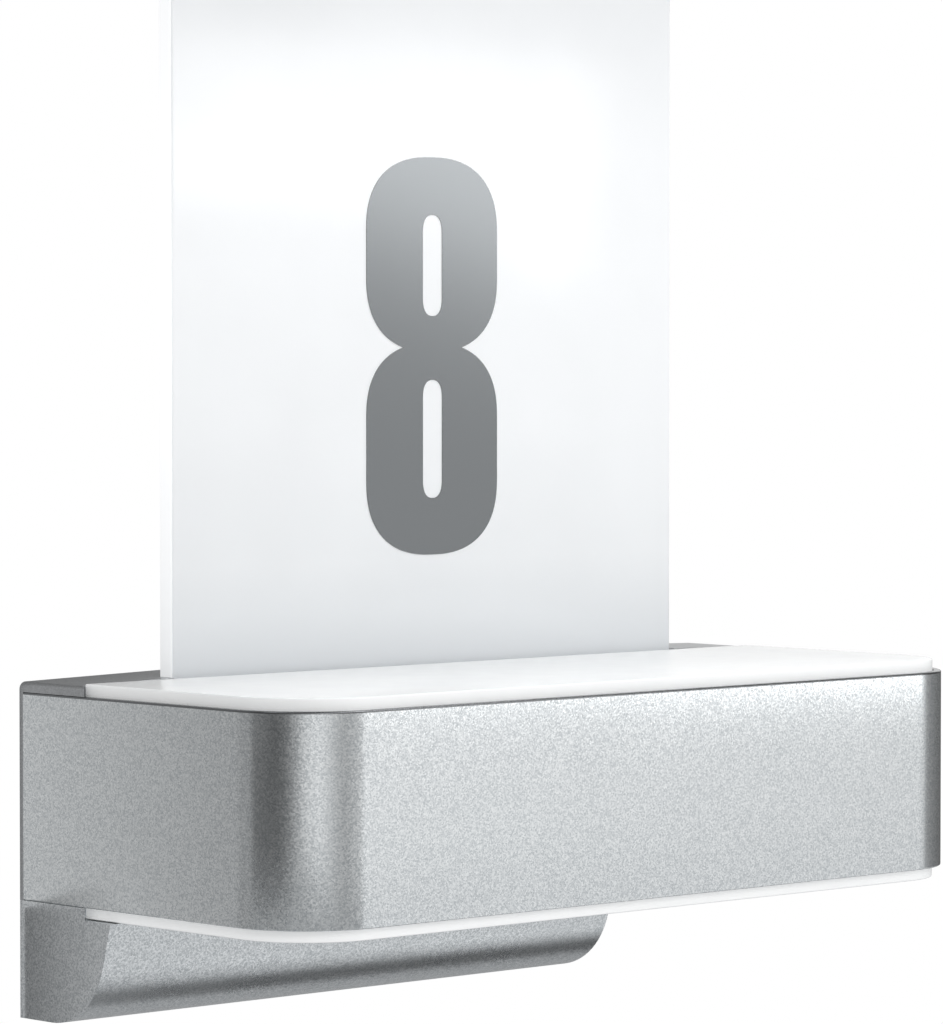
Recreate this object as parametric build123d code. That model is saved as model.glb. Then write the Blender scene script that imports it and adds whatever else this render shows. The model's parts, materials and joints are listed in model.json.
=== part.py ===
from build123d import *
import os

# Outdoor wall light with a standing house-number panel. Millimetres, +Z up, +X to the right as
# seen from the front. The wall is the plane y = 0, the front faces -Y, and z = 0 is the middle
# of the aluminium band.

# Aluminium band and the two opal plates
body_width = 230.0
body_depth = 102.0
band_height = 50.0
band_wall = 2.0
corner_radius = 22.0
rear_reveal = 1.4
edge_break = 0.3
plate_thickness = 4.0
plate_proud = 2.9
plate_gap = 0.2
plate_edge_break = 0.3

# Rear housing, which stands against the wall and shows above the band as a spine
spine_depth = 22.3
spine_end_rise = 2.4
spine_crown = 1.65
spine_corner_round = 1.8
cheek_lap = 2.7
band_fit_gap = 0.15
side_wall = 4.0
top_wall = 3.0
pocket_depth = 9.0
partition_wall = 2.0
front_wall = 2.5
terminal_well_width = 72.0
well_roof = 3.7
well_front_gap = 1.3
hang_rib_height = 4.2
housing_boss_width = 8.0

# Sensor housing, the chin under the left of the band
chin_length = 167.0
chin_drop = 28.4
chin_front = 35.3
chin_slope = 0.271
chin_round = 20.0
chin_wall = 2.2
chin_plate_gap = 0.15
pillar_width = 12.0
chin_boss_width = 7.0
chin_boss_length = 9.0

# Number panel, its digit and its clamping rail
panel_width = 170.0
panel_thickness = 4.7
panel_rise = 200.0
panel_edge_break = 0.4
panel_engagement = 14.0
rail_clearance = 0.25
rail_front_wall = 1.0
rail_rear_wall = 3.0
rail_floor = 1.2
rail_overhang = 1.0
foil_thickness = 0.15
digit_height = 100.0
digit_half_width = 22.3
digit_base = 27.4
digit_waist = 52.2
digit_waist_half_width = 10.0
digit_end_bulge = 16.0
digit_waist_bulge = 18.0
counter_width = 6.5
upper_counter = (60.1, 85.5)
lower_counter = (14.3, 44.0)

# Inner frame, seals, reflectors and light sources
tape_thickness = 1.0
tape_height = 30.0
tape_end_gap = 4.0
frame_wall = 1.8
ledge_width = 5.0
ledge_thickness = 1.5
seal_thickness = 1.0
seal_width = 3.0
frame_post_width = 8.0
frame_post_x = 80.0
frame_boss_width = 7.0
frame_boss_length = 8.0
frame_boss_inset = 10.0
wire_window = (80.0, 14.0)
reflector_sheet = 1.0
reflector_flange_gap = 0.4
reflector_head_gap = 1.6
reflector_depth = 8.0
reflector_mouth = 14.0
reflector_foot = 24.0
reflector_corner = 8.0
board_thickness = 1.6
led_board_end_margin = 6.0
led_board_side_margin = 3.35
board_screw_inset = 5.0
led_size = 3.0
led_height = 0.8
led_columns = 10
led_rows = 2
led_end_margin = 10.75
led_side_margin = 7.5
driver_width = 118.0
driver_depth = 36.0
driver_top_gap = 2.0
driver_corner = 2.0
driver_lid_inset = 1.5
driver_pad_thickness = 1.0
driver_pad_inset = 5.0

# Wall bracket and what locks the lamp to it
bracket_sheet = 1.5
bracket_bend = 2.0
bracket_corner = 4.0
bracket_side_gap = 8.85
bracket_foot_gap = 2.0
tab_width = 20.0
tab_reach = 7.0
tab_x = 45.0
fold_flange = 8.0
leg_end_gap = 10.0
leg_foot_rise = 7.4
fork_width = 16.0
fork_reach = 10.5
fork_side_gap = 1.0
lock_axis_depth = 5.5
lock_screw_diameter = 4.0
lock_screw_length = 13.0
lock_head_diameter = 7.0
lock_head_height = 2.4
lock_access_diameter = 8.4
slot_length = 10.0
slot_width = 5.2
slot_inset = 15.0
slot_spacing_z = 20.0
cable_x = 18.0
grommet_hole = 20.0
grommet_lip = 26.0
grommet_lip_thickness = 2.0
grommet_floor_gap = 1.0
cable_bore = 9.0

# Sensor electronics and the three setting dials
sensor_board_width = 92.0
sensor_board_depth = 20.0
sensor_board_x = -30.0
sensor_board_y = -15.0
sensor_board_rise = 11.4
sensor_post_width = 5.0
sensor_plug_x = -62.0
sensor_plug_width = 18.0
sensor_plug_depth = (3.0, 8.0)
dial_names = ("reach_dial", "twilight_dial", "time_dial")
dial_pitch = 20.0
dial_y = -8.5
dial_diameter = 6.4
dial_bore = 7.4
dial_recess = 0.6
dial_slot_width = 1.2
dial_slot_depth = 1.0
spigot_diameter = 3.0
spigot_length = 2.0
spigot_clearance = 0.1
trimmer_size = 9.0
trimmer_height = 4.5
radar_width = 24.0
radar_height = 9.0
radar_card = 1.2
radar_can = 2.6

# Small parts
body_clearance = 0.3
hole_clearance = 0.1
screw_sides = 8
screw_diameter = 3.0
screw_head_diameter = 5.6
screw_head_height = 1.8
small_screw_diameter = 2.0
small_head_diameter = 4.0
small_head_height = 1.4
grub_diameter = 4.0
grub_length = 7.0
grub_x = (-70.0, 0.0, 70.0)
rail_screw_x = (-20.0, 20.0)
chin_screw_depth = 6.0
chin_screw_left = 10.0
chin_screw_right = 8.0
terminal_width = 34.0
terminal_depth = 11.0
terminal_height = 16.0
terminal_x = -17.0
terminal_bore = 4.2
terminal_bore_depth = 5.0
pole_pitch = 10.0
pole_count = 3
wall_seal_width = 2.4
wall_seal_depth = 1.4
wall_seal_foot_gap = 4.0

# Levels and planes that several pieces share. Distances from the wall are positive here.
overcut = 1.0
half_width = body_width / 2
rim = band_height / 2
screw_hole = screw_diameter + 2 * hole_clearance
small_hole = small_screw_diameter + 2 * hole_clearance
grub_hole = grub_diameter + 2 * hole_clearance
spigot_hole = spigot_diameter + 2 * spigot_clearance
plate_top = rim + plate_proud
plate_underside = plate_top - plate_thickness
seal_underside = plate_underside - seal_thickness
plate_inset = band_wall + plate_gap
frame_inset = band_wall + tape_thickness
core_half = half_width - band_wall - band_fit_gap
cheek_half = half_width - band_wall
cheek_front = spine_depth + cheek_lap
partition_front = pocket_depth + partition_wall
pocket_half = core_half - side_wall
pocket_ceiling = rim - top_wall
chin_left = -half_width
chin_right = chin_left + chin_length
chin_bottom = -rim - chin_drop
chin_top = -plate_top - chin_plate_gap
chin_ceiling = -rim - chin_wall
chin_screw_x = (chin_left + chin_screw_left, (chin_left + chin_right) / 2, chin_right - chin_screw_right)
rail_front = spine_depth
slot_front = rail_front - rail_front_wall
panel_front = slot_front - rail_clearance
panel_rear = panel_front - panel_thickness
slot_rear = panel_rear - rail_clearance
rail_rear = slot_rear - rail_rear_wall
rail_top = seal_underside
rail_bottom = rail_top - panel_engagement - rail_floor
rail_half = panel_width / 2 + rail_overhang
rail_screw_level = (rail_top + rail_bottom) / 2
panel_bottom = rail_bottom + rail_floor + body_clearance
panel_top = plate_top + panel_rise
well_floor = spine_depth - well_front_gap - partition_wall
well_low = -pocket_ceiling + partition_wall
well_high = rail_bottom - well_roof
terminal_level = (well_low + well_high) / 2
flange_top = seal_underside - ledge_thickness - screw_head_height - reflector_head_gap
flange_underside = flange_top - reflector_sheet
reflector_level = flange_underside - reflector_depth
mouth_rear = spine_depth + reflector_mouth - frame_inset
foot_rear = spine_depth + reflector_foot - frame_inset
light_middle = -(body_depth - reflector_foot + foot_rear) / 2
led_board_width = 2 * (half_width - reflector_foot - led_board_end_margin)
led_board_depth = body_depth - reflector_foot - foot_rear - 2 * led_board_side_margin
led_pitch_x = (led_board_width - 2 * led_end_margin) / (led_columns - 1)
led_pitch_y = (led_board_depth - 2 * led_side_margin) / (led_rows - 1)
driver_bottom = -reflector_level + driver_pad_thickness
driver_height = 2 * reflector_level - driver_pad_thickness - driver_top_gap
bracket_half = pocket_half - bracket_side_gap
bracket_top = pocket_ceiling - hang_rib_height - body_clearance
bracket_bottom = -pocket_ceiling + bracket_foot_gap
slot_spacing_x = 2 * (bracket_half - slot_inset)
leg_left = -bracket_half
leg_right = chin_right - leg_end_gap
leg_bottom = chin_bottom + leg_foot_rise
fork_x = (leg_left + fork_side_gap + fork_width / 2, leg_right - fork_width / 2)
pillar_foot = leg_bottom + bracket_sheet + body_clearance
cable_z = -pocket_ceiling + grommet_lip / 2 + grommet_floor_gap
sensor_board_level = chin_bottom + sensor_board_rise
dial_x = tuple(sensor_board_x + step * dial_pitch for step in (-1, 0, 1))


def block(x_range, y_range, z_range):
    ranges = (x_range, y_range, z_range)
    size = [high - low for low, high in ranges]
    middle = [(high + low) / 2 for low, high in ranges]
    return Pos(*middle) * Box(*size)


def post(x, y, low, high, width):
    half = width / 2
    return block((x - half, x + half), (y - half, y + half), (low, high))


def boss(x, z, near, far, width):
    half = width / 2
    return block((x - half, x + half), (-far, -near), (z - half, z + half))


def upright(x, y, low, high, diameter):
    return Pos(x, y, (low + high) / 2) * Cylinder(diameter / 2, high - low)


def level_rod(x, z, near, far, diameter):
    # A round bar along Y that runs from near to far off the wall
    return Pos(x, -(near + far) / 2, z) * Rot(90, 0, 0) * Cylinder(diameter / 2, far - near)


def plan(inset, rear):
    # The band's outline seen from above, drawn in by inset, with its rear edge at rear off the wall
    length = body_depth - inset - rear
    outline = Pos(0, -rear - length / 2) * Rectangle(2 * (half_width - inset), length)
    return fillet(outline.vertices().sort_by(Axis.Y)[:2], max(corner_radius - inset, overcut))


def slab(inset, rear, low, high):
    return Pos(0, 0, low) * extrude(plan(inset, rear), high - low)


def prism(points, low, high):
    # An upright solid over an outline of straight lines
    return Pos(0, 0, low) * extrude(make_face(Polyline(*points, close=True)), high - low, dir=(0, 0, 1))


def screw_section(diameter, across_flats=False):
    # Small screws and their holes are eight-sided, which keeps the facets few: a shank's corners lie
    # on its diameter and a hole's flats on its own, so they stay clear of each other
    return RegularPolygon(diameter / 2, screw_sides, major_radius=not across_flats)


def upright_hole(x, y, low, high, diameter=screw_hole):
    return Pos(x, y, low) * extrude(screw_section(diameter, across_flats=True), high - low)


def level_hole(x, z, near, far, diameter=screw_hole):
    return Pos(x, -near, z) * Rot(90, 0, 0) * extrude(screw_section(diameter, across_flats=True), far - near)


def below(shape):
    # The lower twin of a piece that lights upwards
    return mirror(shape, Plane.XY)


def on_wall(sketch, depth):
    # Extrudes a front-view sketch from the wall plane towards the front
    return extrude(Plane.XZ * sketch, depth)


def facing_wall(shape, x, depth, z):
    # Places a screw that was modelled along Z, with its head towards the wall
    return Pos(x, -depth, z) * Rot(-90, 0, 0) * shape


def pan_screw(length, diameter=screw_diameter, head=screw_head_diameter, height=screw_head_height):
    # Head above z = 0, shank below
    cap = extrude(screw_section(head), height)
    cap = chamfer(cap.edges().group_by(Axis.Z)[-1], height * 0.3)
    return cap + extrude(screw_section(diameter), -length)


def make_band():
    # A strip of aluminium bent round both front corners, open at the wall
    outer = slab(0, rear_reveal, -rim, rim)
    ends = outer.faces().sort_by(Axis.Z)
    edges = ends[0].edges() + ends[-1].edges()
    outer = chamfer([edge for edge in edges if edge.center().Y < -rear_reveal - edge_break], edge_break)
    return outer - slab(band_wall, rear_reveal - overcut, -rim - overcut, rim + overcut)


def make_upper_diffuser():
    plate = slab(plate_inset, spine_depth + plate_gap, plate_underside, plate_top)
    return chamfer(plate.faces().sort_by(Axis.Z)[-1].edges(), plate_edge_break)


def make_upper_seal():
    inset = plate_inset + plate_gap
    rear = spine_depth + plate_gap
    ring = slab(inset, rear, seal_underside, plate_underside)
    return ring - slab(inset + seal_width, rear + seal_width, seal_underside - overcut, rim + overcut)


def frame_posts():
    reach = frame_wall + screw_head_diameter / 2 + reflector_flange_gap
    front = -body_depth + frame_inset + reach
    rear = -spine_depth - reach
    return [(side * frame_post_x, y) for side in (-1, 1) for y in (front, rear)]


def frame_boss_places():
    x = core_half - front_wall - frame_boss_inset
    z = pocket_ceiling - frame_boss_inset
    return [(side * x, level * z) for side in (-1, 1) for level in (-1, 1)]


def make_inner_frame():
    # A moulded ring with a ledge at the top and the bottom, a rear wall and eight screw points
    ledge_level = seal_underside - ledge_thickness
    frame = slab(frame_inset, spine_depth, -seal_underside, seal_underside)
    frame -= slab(frame_inset + frame_wall, spine_depth + frame_wall, -ledge_level, ledge_level)
    frame -= slab(frame_inset + ledge_width, spine_depth + ledge_width, -rim, rim)
    for x, y in frame_posts():
        frame += post(x, y, -flange_underside, flange_underside, frame_post_width)
    for x, z in frame_boss_places():
        frame += boss(x, z, spine_depth + frame_wall / 2, spine_depth + frame_boss_length, frame_boss_width)
    for x, y in frame_posts():
        frame -= upright_hole(x, y, -rim, rim)
    for x, z in frame_boss_places():
        frame -= level_hole(x, z, spine_depth - overcut, spine_depth + frame_boss_length + overcut)
    width, height = wire_window
    through = (-spine_depth - frame_wall - overcut, -spine_depth + overcut)
    return frame - block((-width / 2, width / 2), through, (-height / 2, height / 2))


def make_band_tape():
    clear = corner_radius + tape_end_gap
    heights = (-tape_height / 2, tape_height / 2)
    front = block((-half_width + clear, half_width - clear),
                  (-body_depth + band_wall, -body_depth + frame_inset), heights)
    left = block((-half_width + band_wall, -half_width + frame_inset),
                 (-body_depth + clear, -spine_depth - tape_end_gap), heights)
    return Compound([front, left, mirror(left, Plane.YZ)])


def board_screw_places():
    reach = led_board_width / 2 - board_screw_inset
    return [(side * reach, light_middle) for side in (-1, 1)]


def make_upper_reflector():
    # A folded sheet dish: a flange on the posts, sloping walls and a flat floor for the light board
    def outline(inset, rear, level):
        length = body_depth - inset - rear
        edge = Pos(0, -rear - length / 2, level) * Rectangle(2 * (half_width - inset), length)
        return chamfer(edge.vertices(), reflector_corner)

    def dish(grow, low, high):
        foot = outline(reflector_foot - grow, foot_rear - grow, low)
        mouth = outline(reflector_mouth - grow, mouth_rear - grow, high)
        return loft([foot, mouth], ruled=True)

    inset = frame_inset + frame_wall + reflector_flange_gap
    rear = spine_depth + frame_wall + reflector_flange_gap
    sheet = slab(inset, rear, flange_underside, flange_top)
    sheet += dish(reflector_sheet, reflector_level, flange_top)
    sheet -= dish(0, reflector_level + reflector_sheet, flange_top)
    for x, y in frame_posts() + board_screw_places():
        sheet -= upright_hole(x, y, 0, rim)
    return sheet


def make_upper_reflector_screws():
    screw = pan_screw(reflector_depth + reflector_sheet)
    return Compound([Pos(x, y, flange_top) * screw for x, y in frame_posts()])


def make_upper_led_board():
    level = reflector_level + reflector_sheet
    board = Box(led_board_width, led_board_depth, board_thickness)
    board = Pos(0, light_middle, level + board_thickness / 2) * board
    for x, y in board_screw_places():
        board -= upright_hole(x, y, 0, rim)
    return board


def make_upper_leds():
    level = reflector_level + reflector_sheet + board_thickness
    chip = Pos(0, light_middle, level + led_height / 2) * Box(led_size, led_size, led_height)
    places = GridLocations(led_pitch_x, led_pitch_y, led_columns, led_rows)
    return Compound([place * chip for place in places])


def make_upper_board_screws():
    # Self-tapping, and short enough to end inside the sheet below the board
    level = reflector_level + reflector_sheet + board_thickness
    screw = pan_screw(board_thickness + reflector_sheet / 2)
    return Compound([Pos(x, y, level) * screw for x, y in board_screw_places()])


def make_driver_pad():
    reach_x = driver_width / 2 - driver_pad_inset
    reach_y = driver_depth / 2 - driver_pad_inset
    return block((-reach_x, reach_x), (light_middle - reach_y, light_middle + reach_y),
                 (-reflector_level, driver_bottom))


def make_led_driver():
    case = Box(driver_width, driver_depth, driver_height)
    case = Pos(0, light_middle, driver_bottom + driver_height / 2) * case
    case = chamfer(case.edges().filter_by(Axis.Z), driver_corner)
    lid = offset(case.faces().sort_by(Axis.Z)[-1], -driver_lid_inset)
    return case - extrude(lid, -driver_lid_inset / 2)


def spine_face():
    # Front view of the spine above the band: straight ends and a gently crowned top
    shoulder = rim + spine_end_rise
    crown = ThreePointArc((half_width, shoulder), (0, shoulder + spine_crown), (-half_width, shoulder))
    sides = Polyline((-half_width, shoulder), (-half_width, rim), (half_width, rim), (half_width, shoulder))
    return make_face([crown, sides])


def seal_space():
    # An upside-down U round the rear pocket, open below so that water drains
    half = wall_seal_width / 2
    middle = pocket_half + side_wall / 2
    high = pocket_ceiling + top_wall / 2 + half
    outside = block((-middle - half, middle + half), (-wall_seal_depth, 0), (-rim + wall_seal_foot_gap, high))
    return outside - block((-middle + half, middle - half), (-wall_seal_depth - overcut, overcut),
                           (-rim, high - wall_seal_width))


def leg_way(low, high):
    # Room behind a floor or ceiling for the bracket's leg to pass
    gap = body_clearance
    return block((leg_left - gap, leg_right + gap), (-bracket_sheet - gap, overcut), (low, high))


def plug_way(low, high):
    # Slot that the sensor's plug passes through, between the rear pocket and the chin
    half = sensor_plug_width / 2
    near, far = sensor_plug_depth
    return block((sensor_plug_x - half, sensor_plug_x + half), (-far, -near), (low, high))


def make_rear_housing():
    # Back shell: the spine, the part inside the band, and the reveal strip behind the band's edge
    cap = on_wall(spine_face(), cheek_front)
    cap = fillet(cap.edges().filter_by(Axis.Y).group_by(Axis.Z)[-1], spine_corner_round)
    # Both ends of the spine reach forward as cheeks, which taper to meet the ends of the upper plate
    between = [(-half_width, -cheek_front - overcut), (half_width, -cheek_front - overcut),
               (half_width, -cheek_front), (cheek_half, -spine_depth),
               (-cheek_half, -spine_depth), (-half_width, -cheek_front)]
    cap -= prism(between, rim - overcut, rim + spine_end_rise + spine_crown + overcut)
    body = block((-core_half, core_half), (-spine_depth, -rear_reveal), (-rim, rim))
    body += block((-half_width, half_width), (-rear_reveal, 0), (-rim, rim))
    body += cap

    # Rear pocket for the bracket and the supply cable, open to the wall
    body -= block((-pocket_half, pocket_half), (-pocket_depth, overcut), (-pocket_ceiling, pocket_ceiling))

    # Front cavity below the rail, and an end pocket on each side of the rail
    front_half = core_half - front_wall
    cavity_y = (-spine_depth - overcut, -partition_front)
    rail_shelf = rail_bottom - front_wall
    body -= block((-front_half, front_half), cavity_y, (-rim + front_wall, rail_shelf))
    end_pocket = block((rail_half + front_wall, front_half), cavity_y,
                       (rail_shelf - overcut, rim - front_wall))
    body -= end_pocket
    body -= mirror(end_pocket, Plane.YZ)

    # Seat of the rail, and the notch in the spine's top that the panel stands in
    body -= block((-rail_half, rail_half), (-spine_depth - overcut, -rail_rear), (rail_bottom, rail_top))
    notch_half = panel_width / 2 + body_clearance
    body -= block((-notch_half, notch_half), (-spine_depth - overcut, -slot_rear),
                  (rail_top - overcut, rim + spine_end_rise + spine_crown + overcut))

    # Well for the terminal block, sunk from the rear pocket
    well_half = terminal_well_width / 2
    wall = partition_wall
    body += block((-well_half - wall, well_half + wall), (-well_floor - wall, -pocket_depth),
                  (well_low - wall, well_high + wall))
    body -= block((-well_half, well_half), (-well_floor, overcut), (well_low, well_high))

    # Ribs that hang on the bracket's tabs, and bosses that carry the inner frame
    rib_half = tab_width / 2 + partition_wall
    for side in (-1, 1):
        x = side * tab_x
        body += block((x - rib_half, x + rib_half), (-pocket_depth - overcut, -bracket_sheet - overcut),
                      (bracket_top + body_clearance, pocket_ceiling + overcut))
    for x, z in frame_boss_places():
        body += boss(x, z, partition_front - overcut, spine_depth, housing_boss_width)

    # Screw holes, the ways into the chin and the groove of the foam seal
    for x, z in frame_boss_places():
        body -= level_hole(x, z, pocket_depth - overcut, spine_depth + overcut)
    for x in rail_screw_x:
        body -= level_hole(x, rail_screw_level, pocket_depth - overcut, rail_rear + overcut)
    for x in grub_x:
        body -= level_hole(x, rail_screw_level, pocket_depth - overcut, rail_rear + overcut, grub_hole)
    floor = (-rim - overcut, -pocket_ceiling + overcut)
    for x in chin_screw_x:
        body -= upright_hole(x, -chin_screw_depth, *floor)
    return body - leg_way(*floor) - plug_way(*floor) - seal_space()


def chin_profile(inset):
    # Side view of the chin: a leaning front, one large round and a flat underside, drawn in by inset
    lean = (1 + chin_slope ** 2) ** 0.5
    top = chin_top - inset
    bottom = chin_bottom + inset

    def front_at(z):
        return -chin_front + chin_slope * (-rim - z) + inset * lean

    outline = make_face(Polyline((0, top), (front_at(top), top), (front_at(bottom), bottom), (0, bottom),
                                 close=True))
    corner = outline.vertices().group_by(Axis.Y)[0].sort_by(Axis.X)[0]
    return fillet(corner, chin_round - inset)


def chin_prism(inset):
    left = chin_left + inset
    return Pos(left, 0, 0) * extrude(Plane.YZ * chin_profile(inset), chin_length - 2 * inset)


def sensor_post_places():
    reach = sensor_board_width / 2 - sensor_post_width
    return [(sensor_board_x + side * reach, sensor_board_y) for side in (-1, 1)]


def make_sensor_housing():
    # A thin shell under the left of the band: closed at both ends, open to the wall
    outside = chin_prism(0)
    outside += block((chin_left, chin_right), (-spine_depth, 0), (chin_top - chin_wall, -rim))
    cheek = [(chin_left, 0), (chin_left, -cheek_front), (-cheek_half, -spine_depth), (-cheek_half, 0)]
    outside += prism(cheek, chin_top - chin_wall, -rim)
    inside_x = (chin_left + chin_wall, chin_right - chin_wall)
    inside = chin_prism(chin_wall)
    inside += block(inside_x, (-spine_depth + chin_wall, 0), (chin_top - 2 * chin_wall, chin_ceiling))
    body = outside - inside
    body -= block(inside_x, (-overcut, overcut), (chin_bottom + chin_wall, chin_ceiling))

    # Pillars that the locking screws draw up, and bosses for the screws from the rear housing
    for x in fork_x:
        body += block((x - pillar_width / 2, x + pillar_width / 2),
                      (-pillar_width, -bracket_sheet - overcut), (pillar_foot, chin_ceiling + overcut))
        body -= upright_hole(x, -lock_axis_depth, pillar_foot - overcut, pillar_foot + lock_screw_length,
                             lock_screw_diameter + 2 * hole_clearance)
        body -= upright(x, -lock_axis_depth, chin_bottom - overcut, chin_bottom + chin_wall + overcut,
                        lock_access_diameter)
    for x in chin_screw_x:
        body += post(x, -chin_screw_depth, chin_ceiling - chin_boss_length, chin_ceiling + overcut,
                     chin_boss_width)
        body -= upright_hole(x, -chin_screw_depth, chin_ceiling - chin_boss_length + overcut, -rim + overcut)

    # Posts of the sensor board, bores of the dials and the ways through the chin's ceiling
    for x, y in sensor_post_places():
        body += post(x, y, chin_bottom, sensor_board_level, sensor_post_width) & outside
        body -= upright_hole(x, y, chin_bottom + chin_wall, sensor_board_level + overcut, small_hole)
    for x in dial_x:
        body -= upright(x, dial_y, chin_bottom - overcut, chin_bottom + chin_wall + overcut, dial_bore)
    ceiling = (chin_ceiling - overcut, -rim + overcut)
    return body - leg_way(*ceiling) - plug_way(*ceiling)


def make_chin_screws():
    length = top_wall + chin_wall + chin_boss_length - 2 * overcut
    return Compound([Pos(x, -chin_screw_depth, -pocket_ceiling) * pan_screw(length) for x in chin_screw_x])


def make_sensor_board():
    top = sensor_board_level + board_thickness
    board = Pos(sensor_board_x, sensor_board_y, top - board_thickness / 2) * Box(
        sensor_board_width, sensor_board_depth, board_thickness)
    for x, y in sensor_post_places():
        board -= upright_hole(x, y, sensor_board_level - overcut, top + overcut, small_hole)
    return board


def make_sensor_board_screws():
    screw = pan_screw(board_thickness + sensor_post_width, small_screw_diameter, small_head_diameter,
                      small_head_height)
    level = sensor_board_level + board_thickness
    return Compound([Pos(x, y, level) * screw for x, y in sensor_post_places()])


def make_radar_module():
    # A small card that stands on the sensor board and looks forward through the chin
    low = sensor_board_level + board_thickness
    high = low + radar_height
    y = sensor_board_y - sensor_board_depth / 2 + radar_card
    left = sensor_board_x - radar_width / 2
    right = sensor_board_x + radar_width / 2
    rear = y + radar_card / 2
    card = block((left, right), (rear - radar_card, rear), (low, high))
    return card + block((left + radar_can, right - radar_can), (rear, rear + radar_can),
                        (low + radar_card, high - radar_card))


def make_trimmer_bodies():
    top = sensor_board_level
    bottom = top - trimmer_height
    half = trimmer_size / 2
    bodies = []
    for x in dial_x:
        case = block((x - half, x + half), (dial_y - half, dial_y + half), (bottom, top))
        bodies.append(case - upright_hole(x, dial_y, bottom - overcut, bottom + spigot_length + body_clearance,
                                          spigot_hole))
    return Compound(bodies)


def make_setting_dial(x):
    # A small knob that a screwdriver turns from below, with a notch at the pointing end of its slot
    shoulder = sensor_board_level - trimmer_height - body_clearance
    face = chin_bottom + dial_recess
    reach = dial_diameter * 0.38
    slot_depth = (face - overcut, face + dial_slot_depth)
    half = dial_slot_width / 2
    knob = upright(x, dial_y, face, shoulder, dial_diameter)
    knob += Pos(x, dial_y, shoulder) * extrude(screw_section(spigot_diameter), body_clearance + spigot_length)
    knob -= block((x - reach, x + reach), (dial_y - half, dial_y + half), slot_depth)
    return knob - block((x + reach - 2 * half, x + reach), (dial_y - 2 * half, dial_y + 2 * half), slot_depth)


def make_number_panel():
    panel = block((-panel_width / 2, panel_width / 2), (-panel_front, -panel_rear), (panel_bottom, panel_top))
    return chamfer(panel.edges(), panel_edge_break)


def digit_face():
    # A condensed figure eight: two rounded bowls that meet at the waist, each with a tall counter
    base = plate_top + digit_base
    waist = base + digit_waist
    half = digit_half_width
    lap = digit_waist_bulge * (1 - (1 - (digit_waist_half_width / half) ** 2) ** 0.5)

    def bowl(low, high, low_bulge, high_bulge):
        low_end = low + low_bulge
        high_end = high - high_bulge
        straight = Pos(0, (low_end + high_end) / 2) * Rectangle(2 * half, high_end - low_end)
        low_curve = Pos(0, low_end) * Ellipse(half, low_bulge)
        high_curve = Pos(0, high_end) * Ellipse(half, high_bulge)
        return straight + low_curve + high_curve

    figure = bowl(base, waist + lap, digit_end_bulge, digit_waist_bulge)
    figure += bowl(waist - lap, base + digit_height, digit_waist_bulge, digit_end_bulge)
    for low, high in (lower_counter, upper_counter):
        figure -= Pos(0, base + (low + high) / 2) * SlotOverall(high - low, counter_width, rotation=90)
    return figure


def make_number_foil():
    return Pos(0, -panel_front, 0) * on_wall(digit_face(), foil_thickness)


def make_panel_rail():
    # An aluminium channel, open at both ends, that the panel stands in
    rail = block((-rail_half, rail_half), (-rail_front, -rail_rear), (rail_bottom, rail_top))
    rail -= block((-rail_half - overcut, rail_half + overcut), (-slot_front, -slot_rear),
                  (rail_bottom + rail_floor, rail_top + overcut))
    for x in rail_screw_x:
        rail -= level_hole(x, rail_screw_level, rail_rear - overcut, slot_rear + rail_clearance)
    for x in grub_x:
        rail -= level_hole(x, rail_screw_level, rail_rear - overcut, slot_rear + rail_clearance, grub_hole)
    return rail


def make_rail_screws():
    screw = pan_screw(slot_rear - pocket_depth - edge_break)
    return Compound([facing_wall(screw, x, pocket_depth, rail_screw_level) for x in rail_screw_x])


def make_panel_grub_screws():
    tip = panel_rear - body_clearance
    head = tip - grub_length
    shank = extrude(screw_section(grub_diameter), tip - head)
    socket = extrude(RegularPolygon(grub_diameter * 0.28, 6), grub_diameter / 2)
    screw = Rot(90, 0, 0) * (shank - socket)
    return Compound([Pos(x, -head, rail_screw_level) * screw for x in grub_x])


def make_frame_screws():
    screw = pan_screw(spine_depth + frame_boss_length - pocket_depth - overcut)
    return Compound([facing_wall(screw, x, pocket_depth, z) for x, z in frame_boss_places()])


def folded_tab(x, width, reach, level, turn):
    # An angle with a rounded bend: turn is 1 for a tab at a top edge and -1 for one at a bottom edge
    inside = level - turn * bracket_sheet
    end = level - turn * fold_flange
    outline = make_face(Polyline((0, end), (0, level), (-reach, level), (-reach, inside),
                                 (-bracket_sheet, inside), (-bracket_sheet, end), close=True))
    bend = [v for v in outline.vertices() if abs(v.X) < edge_break and abs(v.Y - level) < edge_break]
    return Pos(x - width / 2, 0, 0) * extrude(Plane.YZ * fillet(bend, bracket_bend), width)


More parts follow.
